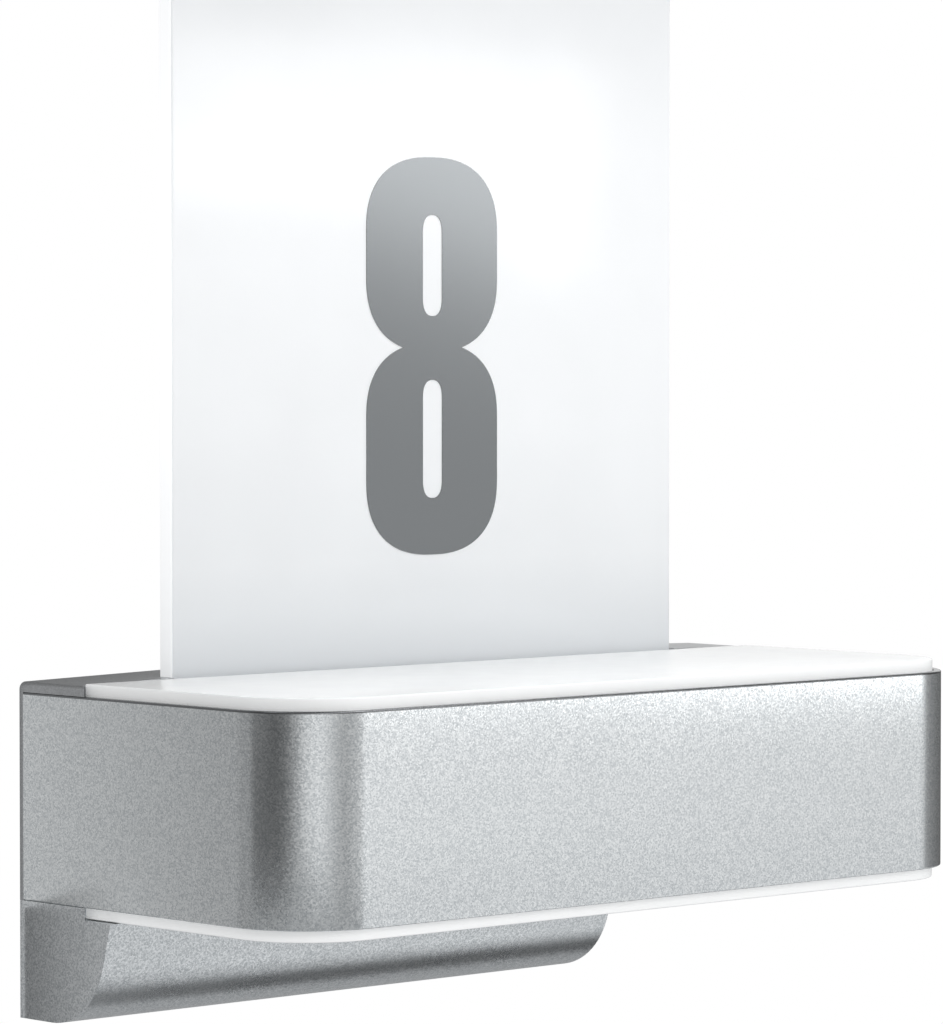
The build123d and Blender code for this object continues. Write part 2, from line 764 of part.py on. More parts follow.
def make_wall_bracket():
    # Folded sheet: a back plate, two tabs at the top and a leg that ends in two forked feet
    sheet = (-bracket_sheet, 0)
    through = (-bracket_sheet - overcut, overcut)
    plate = block((-bracket_half, bracket_half), sheet, (bracket_bottom, bracket_top))
    bracket = fillet(plate.edges().filter_by(Axis.Y), bracket_corner)
    bracket += block((leg_left, leg_right), sheet, (leg_bottom + bracket_bend, bracket_bottom + fold_flange))

    for x in (-tab_x, tab_x):
        bracket -= block((x - tab_width / 2, x + tab_width / 2), through,
                         (bracket_top - fold_flange, bracket_top + overcut))
        bracket += folded_tab(x, tab_width, tab_reach, bracket_top, 1)
    notch = lock_screw_diameter + 2 * body_clearance
    foot = (leg_bottom - overcut, leg_bottom + bracket_sheet + overcut)
    for x in fork_x:
        bracket -= block((x - fork_width / 2, x + fork_width / 2), through,
                         (leg_bottom - overcut, leg_bottom + fold_flange))
        bracket += folded_tab(x, fork_width, fork_reach, leg_bottom, -1)
        bracket -= upright(x, -lock_axis_depth, *foot, notch)
        bracket -= block((x - notch / 2, x + notch / 2), (-fork_reach - overcut, -lock_axis_depth), foot)

    # Slotted holes for the wall screws, and the cable hole
    slot = Pos(0, overcut, 0) * on_wall(SlotOverall(slot_length, slot_width), bracket_sheet + 2 * overcut)
    for x in (-slot_spacing_x / 2, slot_spacing_x / 2):
        for z in (-slot_spacing_z / 2, slot_spacing_z / 2):
            bracket -= Pos(x, 0, z) * slot
    return bracket - level_rod(cable_x, cable_z, -overcut, bracket_sheet + overcut, grommet_hole)


def make_cable_grommet():
    front = bracket_sheet + grommet_lip_thickness
    lip = level_rod(cable_x, cable_z, bracket_sheet, front, grommet_lip)
    neck = level_rod(cable_x, cable_z, 0, bracket_sheet, grommet_hole)
    return neck + lip - level_rod(cable_x, cable_z, -overcut, front + overcut, cable_bore)


def terminal_poles():
    return [terminal_x + pole_pitch * (step - (pole_count - 1) / 2) for step in range(pole_count)]


def make_terminal_block():
    rear = well_floor - terminal_depth
    low = terminal_level - terminal_height / 2
    high = low + terminal_height
    half = terminal_width / 2
    body = block((terminal_x - half, terminal_x + half), (-well_floor, -rear), (low, high))
    body = chamfer(body.edges().group_by(Axis.Y)[-1], hole_clearance * 8)
    middle = well_floor - terminal_bore_depth
    for x in terminal_poles():
        body -= upright_hole(x, -middle, low - overcut, high + overcut, terminal_bore)
        body -= level_hole(x, terminal_level, rear - overcut, middle, terminal_bore)
    return body


def make_terminal_screws():
    head = well_floor - terminal_depth + 2 * overcut
    tip = well_floor - terminal_bore_depth
    turn_slot = block((-terminal_bore, terminal_bore), (-head - overcut, -head + overcut),
                      (-terminal_bore / 10, terminal_bore / 10))
    shank = extrude(screw_section(terminal_bore - 2 * hole_clearance), tip - head)
    screw = Pos(0, -head, 0) * Rot(90, 0, 0) * shank - turn_slot
    return Compound([Pos(x, 0, terminal_level) * screw for x in terminal_poles()])


def make_locking_screws():
    screw = pan_screw(lock_screw_length, lock_screw_diameter, lock_head_diameter, lock_head_height)
    screw = Rot(180, 0, 0) * screw
    return Compound([Pos(x, -lock_axis_depth, leg_bottom - body_clearance) * screw for x in fork_x])


upper_pieces = {
    "diffuser": make_upper_diffuser(),
    "seal": make_upper_seal(),
    "reflector": make_upper_reflector(),
    "reflector_screws": make_upper_reflector_screws(),
    "led_board": make_upper_led_board(),
    "leds": make_upper_leds(),
    "board_screws": make_upper_board_screws(),
}
parts = {
    "wall_bracket": make_wall_bracket(),
    "cable_grommet": make_cable_grommet(),
    "rear_housing": make_rear_housing(),
    "wall_seal": seal_space(),
    "sensor_housing": make_sensor_housing(),
    "chin_screws": make_chin_screws(),
    "locking_screws": make_locking_screws(),
    "band": make_band(),
    "band_tape": make_band_tape(),
    "inner_frame": make_inner_frame(),
    "frame_screws": make_frame_screws(),
    "driver_pad": make_driver_pad(),
    "led_driver": make_led_driver(),
    "terminal_block": make_terminal_block(),
    "terminal_screws": make_terminal_screws(),
    "panel_rail": make_panel_rail(),
    "rail_screws": make_rail_screws(),
    "panel_grub_screws": make_panel_grub_screws(),
    "number_panel": make_number_panel(),
    "number_foil": make_number_foil(),
    "sensor_board": make_sensor_board(),
    "sensor_board_screws": make_sensor_board_screws(),
    "radar_module": make_radar_module(),
    "trimmer_bodies": make_trimmer_bodies(),
}
for name, piece in upper_pieces.items():
    parts[f"upper_{name}"] = piece
    parts[f"lower_{name}"] = below(piece)
for name, x in zip(dial_names, dial_x):
    parts[name] = make_setting_dial(x)

os.makedirs("parts", exist_ok=True)
for name, shape in parts.items():
    export_step(shape, f"parts/{name}.step")
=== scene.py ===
import json
import math
import bpy
import bmesh
from mathutils import Vector, Matrix


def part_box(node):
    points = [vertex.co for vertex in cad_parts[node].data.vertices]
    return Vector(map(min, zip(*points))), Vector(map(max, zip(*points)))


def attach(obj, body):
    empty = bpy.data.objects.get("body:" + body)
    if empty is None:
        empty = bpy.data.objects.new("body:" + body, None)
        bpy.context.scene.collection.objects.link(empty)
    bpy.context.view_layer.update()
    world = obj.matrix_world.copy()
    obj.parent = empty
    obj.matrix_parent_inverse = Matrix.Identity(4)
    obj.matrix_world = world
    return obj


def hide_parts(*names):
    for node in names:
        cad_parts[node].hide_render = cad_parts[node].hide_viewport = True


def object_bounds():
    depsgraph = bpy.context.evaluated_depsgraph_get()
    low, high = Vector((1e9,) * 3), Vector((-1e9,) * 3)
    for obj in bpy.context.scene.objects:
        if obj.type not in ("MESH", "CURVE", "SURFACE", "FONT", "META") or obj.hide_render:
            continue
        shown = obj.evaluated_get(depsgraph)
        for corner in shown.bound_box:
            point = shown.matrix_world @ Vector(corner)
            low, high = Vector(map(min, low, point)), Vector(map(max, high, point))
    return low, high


# Outdoor wall light with a standing number panel, dressed over its CAD frame.
# Metres, +Z up. The wall is the plane y = 0 and the lamp's front faces -Y.

mm = 0.001
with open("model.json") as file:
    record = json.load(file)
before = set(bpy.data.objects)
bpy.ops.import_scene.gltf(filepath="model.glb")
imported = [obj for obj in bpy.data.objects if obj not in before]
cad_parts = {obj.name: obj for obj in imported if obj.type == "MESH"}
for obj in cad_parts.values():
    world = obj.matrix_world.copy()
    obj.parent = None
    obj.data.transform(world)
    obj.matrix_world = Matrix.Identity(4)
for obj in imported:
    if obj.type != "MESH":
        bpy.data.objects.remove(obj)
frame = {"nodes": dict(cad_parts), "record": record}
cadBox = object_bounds()
nodes = frame["nodes"]
bodyOf = {node: body for body, members in frame["record"]["behaviour"]["bodies"].items()
          for node in members}
slotOf = {part["node"]: part["material_slot"] for part in frame["record"]["subparts"]}
print("frame loaded,", len(nodes), "nodes")


def linear(colour):
    # sRGB hex to linear RGBA; a plain number is a linear grey
    if not isinstance(colour, str):
        return (colour, colour, colour, 1.0)
    rgb = [int(colour[i:i + 2], 16) / 255 for i in (1, 3, 5)]
    return tuple(c / 12.92 if c <= 0.04045 else ((c + 0.055) / 1.055) ** 2.4 for c in rgb) + (1.0,)


def addNode(tree, kind, settings=None, inputs=None):
    # "stops" in settings fills a colour ramp. An input is a value or another node's output socket
    node = tree.nodes.new(kind)
    for name, value in (settings or {}).items():
        if name == "stops":
            # A new stop starts near the end, so that those before it keep their order
            for i, (place, colour) in enumerate(value):
                stop = node.color_ramp.elements[i] if i < 2 else node.color_ramp.elements.new(0.999)
                stop.position = place
                stop.color = linear(colour)
        else:
            setattr(node, name, value)
    for key, value in (inputs or {}).items():
        if isinstance(value, bpy.types.NodeSocket):
            tree.links.new(value, node.inputs[key])
        else:
            node.inputs[key].default_value = value
    return node


def newMaterial(name):
    material = bpy.data.materials.new(name)
    material.use_nodes = True
    tree = material.node_tree
    tree.nodes.clear()
    shader = addNode(tree, "ShaderNodeBsdfPrincipled")
    addNode(tree, "ShaderNodeOutputMaterial", inputs={"Surface": shader.outputs["BSDF"]})
    position = addNode(tree, "ShaderNodeTexCoord").outputs["Object"]
    return material, tree, shader, position


def silverPaint(name, look):
    # Metallic paint, sprayed and baked: flakes of aluminium lie almost flat in clear lacquer, and
    # each takes the light a little differently. Real flakes are 0.05 mm and are drawn larger here,
    # so that they show
    material, tree, shader, position = newMaterial(name)
    flakes = addNode(tree, "ShaderNodeTexVoronoi",
                     inputs={"Vector": position, "Scale": 1 / look["flake"]})
    pick = addNode(tree, "ShaderNodeSeparateColor", inputs={"Color": flakes.outputs["Color"]})
    tone = addNode(tree, "ShaderNodeValToRGB",
                   {"stops": [(0.0, look["darkFlake"]), (1.0, look["lightFlake"])]},
                   {"Fac": pick.outputs["Red"]})
    coat = tone.outputs["Color"]
    if "rim" in look:
        # Painted shade: the strip's upper edge is darkened into a thin line, standing in for the
        # shadow gap under the plate
        axes = addNode(tree, "ShaderNodeSeparateXYZ", inputs={"Vector": position})
        paintedShadeLine = addNode(tree, "ShaderNodeMapRange",
                       inputs={"Value": axes.outputs["Z"],
                               "From Min": look["rim"] - look["rimFade"], "From Max": look["rim"]})
        coat = addNode(tree, "ShaderNodeMix", {"data_type": "RGBA"},
                       {"Factor": paintedShadeLine.outputs["Result"], 6: coat,
                        7: linear(look["rimColour"])}).outputs[2]
    tree.links.new(coat, shader.inputs["Base Color"])
    shader.inputs["Metallic"].default_value = look["metallic"]
    # The spray's slow waves, where the coat is a little wetter or drier
    waves = addNode(tree, "ShaderNodeTexNoise",
                    inputs={"Vector": position, "Scale": 1 / look["sprayWave"]})
    satin = addNode(tree, "ShaderNodeMapRange",
                    inputs={"Value": waves.outputs["Fac"],
                            "To Min": look["roughness"] - look["spread"],
                            "To Max": look["roughness"] + look["spread"]})
    tree.links.new(satin.outputs["Result"], shader.inputs["Roughness"])
    # Each flake leans its own way
    around = addNode(tree, "ShaderNodeVectorMath", {"operation": "SUBTRACT"},
                     {0: flakes.outputs["Color"], 1: (0.5, 0.5, 0.5)})
    lean = addNode(tree, "ShaderNodeVectorMath", {"operation": "SCALE"},
                   {0: around.outputs[0], "Scale": look["lean"]})
    surface = addNode(tree, "ShaderNodeNewGeometry").outputs["Normal"]
    leaning = addNode(tree, "ShaderNodeVectorMath", {"operation": "ADD"},
                      {0: lean.outputs[0], 1: surface})
    facing = addNode(tree, "ShaderNodeVectorMath", {"operation": "NORMALIZE"},
                     {0: leaning.outputs[0]})
    tree.links.new(facing.outputs[0], shader.inputs["Normal"])
    return material


# "spread" is how far the roughness wanders to either side
bandPaint = {"flake": 0.34 * mm, "darkFlake": "#BFC4C7", "lightFlake": "#EDF0F1", "metallic": 0.9,
             "roughness": 0.2, "spread": 0.03, "lean": 0.035, "sprayWave": 30 * mm,
             "rim": 24.5 * mm, "rimFade": 0.1 * mm, "rimColour": "#77797B"}
housingPaint = {"flake": 0.34 * mm, "darkFlake": "#9C9EA0", "lightFlake": "#B0B2B4",
                "metallic": 0.85, "roughness": 0.34, "spread": 0.03, "lean": 0.05,
                "sprayWave": 20 * mm}
chinPaint = {"flake": 0.34 * mm, "darkFlake": "#AFB4B7", "lightFlake": "#E2E5E7", "metallic": 0.9,
             "roughness": 0.28, "spread": 0.03, "lean": 0.06, "sprayWave": 20 * mm}
silverBand = silverPaint("silver_painted_aluminium", bandPaint)
silverHousing = silverPaint("silver_painted_abs", housingPaint)
silverChin = silverPaint("silver_painted_abs_chin", chinPaint)

acrylicIor = 1.49


def opalAcrylic(name, look, paintedEdgeGlow):
    # Opal PMMA sheet, sawn and flame-polished: milky right through, with a soft gloss. Its narrow
    # sides glow with painted light
    material, tree, shader, position = newMaterial(name)
    milk = addNode(tree, "ShaderNodeTexNoise",
                   inputs={"Vector": position, "Scale": 1 / look["cloud"]})
    colour = addNode(tree, "ShaderNodeValToRGB",
                     {"stops": [(0.3, look["thin"]), (0.7, look["thick"])]},
                     {"Fac": milk.outputs["Fac"]})
    tree.links.new(colour.outputs["Color"], shader.inputs["Base Color"])
    touch = addNode(tree, "ShaderNodeTexNoise",
                    inputs={"Vector": position, "Scale": 1 / look["polish"]})
    gloss = addNode(tree, "ShaderNodeMapRange",
                    inputs={"Value": touch.outputs["Fac"],
                            "To Min": look["roughness"] - look["spread"],
                            "To Max": look["roughness"] + look["spread"]})
    tree.links.new(gloss.outputs["Result"], shader.inputs["Roughness"])
    shader.inputs["IOR"].default_value = acrylicIor
    shader.inputs["Specular IOR Level"].default_value = look["shine"]
    shader.inputs["Subsurface Weight"].default_value = look["depth"]
    shader.inputs["Subsurface Radius"].default_value = (1.0, 1.0, 1.0)
    shader.inputs["Subsurface Scale"].default_value = look["reach"]
    # Painted light: the narrow sides glow, the broad faces don't
    outward = addNode(tree, "ShaderNodeNewGeometry").outputs["Normal"]
    tilt = addNode(tree, "ShaderNodeSeparateXYZ", inputs={"Vector": outward})
    flat = addNode(tree, "ShaderNodeMath", {"operation": "ABSOLUTE"}, {0: tilt.outputs["Z"]})
    paintedGlow = addNode(tree, "ShaderNodeMapRange",
                   inputs={"Value": flat.outputs[0], "From Min": look["sideTilt"],
                           "From Max": look["faceTilt"], "To Min": paintedEdgeGlow, "To Max": 0.0})
    shader.inputs["Emission Color"].default_value = linear("#FFFFFF")
    tree.links.new(paintedGlow.outputs["Result"], shader.inputs["Emission Strength"])
    return material


# "sideTilt" and "faceTilt": how far the normal points up or down at a narrow side and a broad face
opalLook = {"thin": "#F4F6F7", "thick": "#F7F9F9", "cloud": 18 * mm, "polish": 6 * mm,
            "roughness": 0.24, "spread": 0.015, "shine": 0.3, "depth": 0.3, "reach": 1.5 * mm,
            "sideTilt": 0.1, "faceTilt": 0.9, "upperPaintedGlow": 0.13, "lowerPaintedGlow": 0.27}
opal = opalAcrylic("opal_acrylic", opalLook, opalLook["upperPaintedGlow"])
# The lower plate lies in the band's shade, so its copy of the sheet gets a stronger painted glow
opalLowerPaintedGlow = opalAcrylic("opal_acrylic_below_painted_glow", opalLook, opalLook["lowerPaintedGlow"])


def castAcrylic(look):
    # Cast white PMMA sheet with a hard gloss. Its narrow sides glow with painted light, so that
    # they look brighter than the sheet
    material, tree, shader, position = newMaterial("white_cast_acrylic")
    milk = addNode(tree, "ShaderNodeTexNoise",
                   inputs={"Vector": position, "Scale": 1 / look["cloud"]})
    colour = addNode(tree, "ShaderNodeValToRGB",
                     {"stops": [(0.3, look["thin"]), (0.7, look["thick"])]},
                     {"Fac": milk.outputs["Fac"]})
    axes = addNode(tree, "ShaderNodeSeparateXYZ", inputs={"Vector": position})
    low, high = look["paintedLightFrom"], look["paintedLightTo"]
    # Painted shade: the sheet's base colour greys towards its foot, above the plate in front
    foot = addNode(tree, "ShaderNodeMapRange",
                   inputs={"Value": axes.outputs["Z"], "From Min": low,
                           "From Max": low + look["paintedShadeReach"], "To Min": 1.0, "To Max": 0.0})
    paintedShadeMix = addNode(tree, "ShaderNodeMix", {"data_type": "RGBA"},
                     {"Factor": foot.outputs["Result"], 6: colour.outputs["Color"],
                      7: linear(look["paintedFootShade"])})
    tree.links.new(paintedShadeMix.outputs[2], shader.inputs["Base Color"])
    touch = addNode(tree, "ShaderNodeTexNoise",
                    inputs={"Vector": position, "Scale": 1 / look["polish"]})
    gloss = addNode(tree, "ShaderNodeMapRange",
                    inputs={"Value": touch.outputs["Fac"],
                            "To Min": look["roughness"] - look["spread"],
                            "To Max": look["roughness"] + look["spread"]})
    tree.links.new(gloss.outputs["Result"], shader.inputs["Roughness"])
    shader.inputs["IOR"].default_value = acrylicIor
    # Painted light: the left and right ends of the sheet glow
    aside = addNode(tree, "ShaderNodeMath", {"operation": "ABSOLUTE"}, {0: axes.outputs["X"]})
    edge = addNode(tree, "ShaderNodeMapRange",
                   inputs={"Value": aside.outputs[0], "From Min": look["half"] - look["edgeFrom"],
                           "From Max": look["half"] - look["edgeTo"], "To Max": look["paintedEdgeGlow"]})
    # Painted light: the sheet glows by height, faintly at its foot, most near the middle and not at
    # all at the top
    paintedGlowHeight = addNode(tree, "ShaderNodeMapRange",
                    inputs={"Value": axes.outputs["Z"], "From Min": low, "From Max": high})
    depth = addNode(tree, "ShaderNodeValToRGB", {"stops": look["paintedGlow"]},
                    {"Fac": paintedGlowHeight.outputs["Result"]})
    both = addNode(tree, "ShaderNodeMath", {"operation": "ADD"},
                   {0: depth.outputs["Color"], 1: edge.outputs["Result"]})
    shader.inputs["Emission Color"].default_value = linear("#FFFFFF")
    tree.links.new(both.outputs[0], shader.inputs["Emission Strength"])
    return material


panelLow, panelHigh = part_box("number_panel")
panelFinish = {"thin": "#DFE1E3", "thick": "#E3E5E7", "cloud": 40 * mm, "polish": 9 * mm,
               "roughness": 0.1, "spread": 0.02, "half": panelHigh.x, "edgeFrom": 0.3 * mm,
               "edgeTo": 0.1 * mm, "paintedEdgeGlow": 0.4, "paintedLightFrom": 28 * mm, "paintedLightTo": 228 * mm,
               "paintedGlow": [(0.0, 0.01), (0.16, 0.08), (0.3, 0.15), (0.5, 0.19), (0.65, 0.16),
                        (0.95, 0.0)], "paintedFootShade": "#D2D5D8", "paintedShadeReach": 26 * mm}
panelWhite = castAcrylic(panelFinish)


def metallicFilm(look):
    # Plotter-cut vinyl film with a metallic print under a satin face: a broad soft sheen
    material, tree, shader, position = newMaterial("grey_metallic_film")
    speck = addNode(tree, "ShaderNodeTexNoise",
                    inputs={"Vector": position, "Scale": 1 / look["speck"]})
    colour = addNode(tree, "ShaderNodeValToRGB",
                     {"stops": [(0.3, look["dark"]), (0.7, look["light"])]},
                     {"Fac": speck.outputs["Fac"]})
    tree.links.new(colour.outputs["Color"], shader.inputs["Base Color"])
    shader.inputs["Metallic"].default_value = look["metallic"]
    gloss = addNode(tree, "ShaderNodeMapRange",
                    inputs={"Value": speck.outputs["Fac"],
                            "To Min": look["roughness"] - look["spread"],
                            "To Max": look["roughness"] + look["spread"]})
    tree.links.new(gloss.outputs["Result"], shader.inputs["Roughness"])
    return material


filmLook = {"dark": "#777A7C", "light": "#808385", "speck": 0.4 * mm, "metallic": 0.9,
            "roughness": 0.16, "spread": 0.03}
film = metallicFilm(filmLook)


def rolledMetal(name, look):
    # Cold-rolled or drawn metal: hairlines along the rolling direction stretch each reflection
    # across them
    material, tree, shader, position = newMaterial(name)
    drawn = addNode(tree, "ShaderNodeMapping",
                    inputs={"Vector": position, "Scale": look["stretch"]})
    hairline = addNode(tree, "ShaderNodeTexNoise",
                       inputs={"Vector": drawn.outputs[0], "Scale": 1 / look["hairline"],
                               "Detail": 3.0})
    colour = addNode(tree, "ShaderNodeValToRGB",
                     {"stops": [(0.3, look["dark"]), (0.7, look["light"])]},
                     {"Fac": hairline.outputs["Fac"]})
    tree.links.new(colour.outputs["Color"], shader.inputs["Base Color"])
    shader.inputs["Metallic"].default_value = 1.0
    gloss = addNode(tree, "ShaderNodeMapRange",
                    inputs={"Value": hairline.outputs["Fac"],
                            "To Min": look["roughness"] - look["spread"],
                            "To Max": look["roughness"] + look["spread"]})
    tree.links.new(gloss.outputs["Result"], shader.inputs["Roughness"])
    scratch = addNode(tree, "ShaderNodeBump",
                      inputs={"Height": hairline.outputs["Fac"], "Distance": look["groove"]})
    tree.links.new(scratch.outputs["Normal"], shader.inputs["Normal"])
    return material


stainlessLook = {"dark": "#9C9C9A", "light": "#B2B2B0", "roughness": 0.34, "spread": 0.06,
                 "hairline": 0.3 * mm, "stretch": (0.02, 1, 1), "groove": 0.02 * mm}
railLook = {"dark": "#B9BBBD", "light": "#CDCFD1", "roughness": 0.3, "spread": 0.06,
            "hairline": 0.4 * mm, "stretch": (0.02, 1, 1), "groove": 0.02 * mm}
stainless = rolledMetal("rolled_stainless_sheet", stainlessLook)
railMetal = rolledMetal("extruded_aluminium", railLook)


def zincPlate(look):
    # Bright zinc on steel: small crystals, each a slightly different grey
    material, tree, shader, position = newMaterial("zinc_plated_steel")
    crystals = addNode(tree, "ShaderNodeTexVoronoi",
                       inputs={"Vector": position, "Scale": 1 / look["crystal"]})
    colour = addNode(tree, "ShaderNodeValToRGB",
                     {"stops": [(0.0, look["light"]), (0.8, look["dark"])]},
                     {"Fac": crystals.outputs["Distance"]})
    tree.links.new(colour.outputs["Color"], shader.inputs["Base Color"])
    shader.inputs["Metallic"].default_value = 1.0
    shader.inputs["Roughness"].default_value = look["roughness"]
    return material


zincLook = {"light": "#C6C9CB", "dark": "#A6A9AC", "crystal": 0.5 * mm, "roughness": 0.26}
zinc = zincPlate(zincLook)

mouldLook = {"flow": 12 * mm, "spread": 0.05}


def mouldedPlastic(look):
    # Injection-moulded plastic or rubber: the tool's spark-eroded texture breaks up the shine
    material, tree, shader, position = newMaterial(look["real"])
    flow = addNode(tree, "ShaderNodeTexNoise",
                   inputs={"Vector": position, "Scale": 1 / mouldLook["flow"]})
    colour = addNode(tree, "ShaderNodeValToRGB",
                     {"stops": [(0.3, look["dark"]), (0.7, look["light"])]},
                     {"Fac": flow.outputs["Fac"]})
    tree.links.new(colour.outputs["Color"], shader.inputs["Base Color"])
    spark = addNode(tree, "ShaderNodeTexNoise",
                    inputs={"Vector": position, "Scale": 1 / look["texture"], "Detail": 4.0})
    gloss = addNode(tree, "ShaderNodeMapRange",
                    inputs={"Value": spark.outputs["Fac"],
                            "To Min": look["roughness"] - mouldLook["spread"],
                            "To Max": look["roughness"] + mouldLook["spread"]})
    tree.links.new(gloss.outputs["Result"], shader.inputs["Roughness"])
    pits = addNode(tree, "ShaderNodeBump",
                   inputs={"Height": spark.outputs["Fac"], "Distance": look["pit"]})
    tree.links.new(pits.outputs["Normal"], shader.inputs["Normal"])
    return material


# Keyed by slot; "real" names the material. The texture is coarser than the real one, so that it
# shows
plastics = {
    "rubber": {"real": "epdm_rubber", "dark": "#161617", "light": "#202021",
               "roughness": 0.62, "texture": 0.8 * mm, "pit": 0.03 * mm},
    "adhesive_tape": {"real": "white_foam_tape", "dark": "#D6D6D2", "light": "#E0E0DC",
                      "roughness": 0.8, "texture": 0.7 * mm, "pit": 0.05 * mm},
    "frame_plastic": {"real": "white_moulded_abs", "dark": "#DEDEDA", "light": "#E6E6E2",
                      "roughness": 0.5, "texture": 0.6 * mm, "pit": 0.02 * mm},
    "white_sheet": {"real": "stoved_white_enamel", "dark": "#EFEFEC", "light": "#F6F6F3",
                    "roughness": 0.32, "texture": 1.2 * mm, "pit": 0.02 * mm},
    "driver_case": {"real": "moulded_polycarbonate", "dark": "#DAD9D3", "light": "#E3E2DC",
                    "roughness": 0.45, "texture": 0.6 * mm, "pit": 0.02 * mm},
    "thermal_pad": {"real": "silicone_pad", "dark": "#8A949E", "light": "#96A0AA",
                    "roughness": 0.7, "texture": 0.5 * mm, "pit": 0.03 * mm},
    "terminal_plastic": {"real": "moulded_polyamide", "dark": "#DDD8C8", "light": "#E6E1D2",
                         "roughness": 0.42, "texture": 0.6 * mm, "pit": 0.02 * mm},
    "trimmer_plastic": {"real": "blue_thermoset", "dark": "#1C3158", "light": "#243B66",
                        "roughness": 0.4, "texture": 0.5 * mm, "pit": 0.01 * mm},
    "dial_plastic": {"real": "moulded_acetal", "dark": "#CFCFCD", "light": "#D9D9D7",
                     "roughness": 0.38, "texture": 0.5 * mm, "pit": 0.01 * mm},
    "led_phosphor": {"real": "led_phosphor", "dark": "#E8C64E", "light": "#F0D266",
                     "roughness": 0.4, "texture": 0.3 * mm, "pit": 0.01 * mm},
}

foamLook = {"dark": "#1A1A1B", "light": "#2B2B2D", "pore": 0.8 * mm, "hole": 0.15 * mm,
            "roughness": 0.9}


def closedFoam(look):
    # Closed-cell rubber foam: matt black, with pores that catch shadow
    material, tree, shader, position = newMaterial("closed_cell_foam")
    pores = addNode(tree, "ShaderNodeTexVoronoi",
                    inputs={"Vector": position, "Scale": 1 / look["pore"]})
    colour = addNode(tree, "ShaderNodeValToRGB",
                     {"stops": [(0.1, look["dark"]), (0.5, look["light"])]},
                     {"Fac": pores.outputs["Distance"]})
    tree.links.new(colour.outputs["Color"], shader.inputs["Base Color"])
    shader.inputs["Roughness"].default_value = look["roughness"]
    holes = addNode(tree, "ShaderNodeBump",
                    inputs={"Height": pores.outputs["Distance"], "Distance": look["hole"]})
    tree.links.new(holes.outputs["Normal"], shader.inputs["Normal"])
    return material


boardLook = {"stagger": 0.37, "trackWidth": 0.03, "trackHeight": 0.03 * mm, "roughness": 0.35}
whiteBoardLook = {"mask": "#ECECE8", "track": "#DADAD4", "pitch": 9 * mm}
greenBoardLook = {"mask": "#0F4A2A", "track": "#1D6A3E", "pitch": 5 * mm}


def circuitBoard(name, look):
    # Glass-fibre board: copper tracks under the solder mask show as slightly raised, lighter lines
    material, tree, shader, position = newMaterial(name)
    tracks = addNode(tree, "ShaderNodeTexBrick", {"offset": boardLook["stagger"]},
                     {"Vector": position, "Color1": linear(look["mask"]),
                      "Color2": linear(look["mask"]), "Mortar": linear(look["track"]),
                      "Scale": 1 / look["pitch"], "Mortar Size": boardLook["trackWidth"]})
    tree.links.new(tracks.outputs["Color"], shader.inputs["Base Color"])
    shader.inputs["Roughness"].default_value = boardLook["roughness"]
    raised = addNode(tree, "ShaderNodeBump",
                     inputs={"Height": tracks.outputs["Fac"], "Distance": boardLook["trackHeight"]})
    tree.links.new(raised.outputs["Normal"], shader.inputs["Normal"])
    return material


slotMaterials = {slot: mouldedPlastic(look) for slot, look in plastics.items()}
slotMaterials.update({
    "silver_aluminium": silverBand, "silver_plastic": silverHousing, "opal_acrylic": opal,
    "panel_acrylic": panelWhite, "number_film": film, "rail_aluminium": railMetal,
    "zinc_steel": zinc, "stainless_steel": stainless,
    "sealing_foam": closedFoam(foamLook),
    "white_board": circuitBoard("white_masked_board", whiteBoardLook),
    "green_board": circuitBoard("green_masked_board", greenBoardLook),
})
for name, cadObject in nodes.items():
    cadObject.data.materials.clear()
    cadObject.data.materials.append(slotMaterials[slotOf[name]])
print("materials made for", len(slotMaterials), "slots")


def dress(mesh, node, name, material, smoothAngle=30):
    # Puts a finished mesh in the place of a CAD node
    piece = bpy.data.objects.new(name, mesh)
    bpy.context.collection.objects.link(piece)
    mesh.materials.clear()
    mesh.materials.append(material)
    mesh.polygons.foreach_set("use_smooth", [True] * len(mesh.polygons))
    mesh.set_sharp_from_angle(angle=math.radians(smoothAngle))
    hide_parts(node)
    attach(piece, bodyOf[node])
    return piece


def evaluated(piece):
    # A plain mesh with the modifiers in it
    graph = bpy.context.evaluated_depsgraph_get()
    return bpy.data.meshes.new_from_object(piece.evaluated_get(graph), depsgraph=graph)


def stackedRings(name, rings):
    # Joins rings of equal count into a closed solid, with a flat face on the first and the last
    form = bmesh.new()
    loops = [[form.verts.new(point) for point in ring] for ring in rings]
    count = len(rings[0])
    for low, high in zip(loops, loops[1:]):
        for i in range(count):
            j = (i + 1) % count
            form.faces.new((low[i], low[j], high[j], high[i]))
    form.faces.new(list(reversed(loops[0])))
    form.faces.new(loops[-1])
    bmesh.ops.recalc_face_normals(form, faces=form.faces)
    mesh = bpy.data.meshes.new(name)
    form.to_mesh(mesh)
    form.free()
    return mesh


def arcPoints(centre, radius, start, end, steps):
    # From angle start to end, in degrees
    turns = [math.radians(start + (end - start) * i / steps) for i in range(steps + 1)]
    return [(centre[0] + radius * math.cos(a), centre[1] + radius * math.sin(a)) for a in turns]


def roundedOutline(low, high, lowRadius, highRadius, steps):
    # A rectangle with one radius on its two low corners and another on its two high ones
    outline = arcPoints((low[0] + lowRadius, low[1] + lowRadius), lowRadius, 180, 270, steps)
    outline += arcPoints((high[0] - lowRadius, low[1] + lowRadius), lowRadius, 270, 360, steps)
    outline += arcPoints((high[0] - highRadius, high[1] - highRadius), highRadius, 0, 90, steps)
    return outline + arcPoints((low[0] + highRadius, high[1] - highRadius), highRadius, 90, 180,
                               steps)


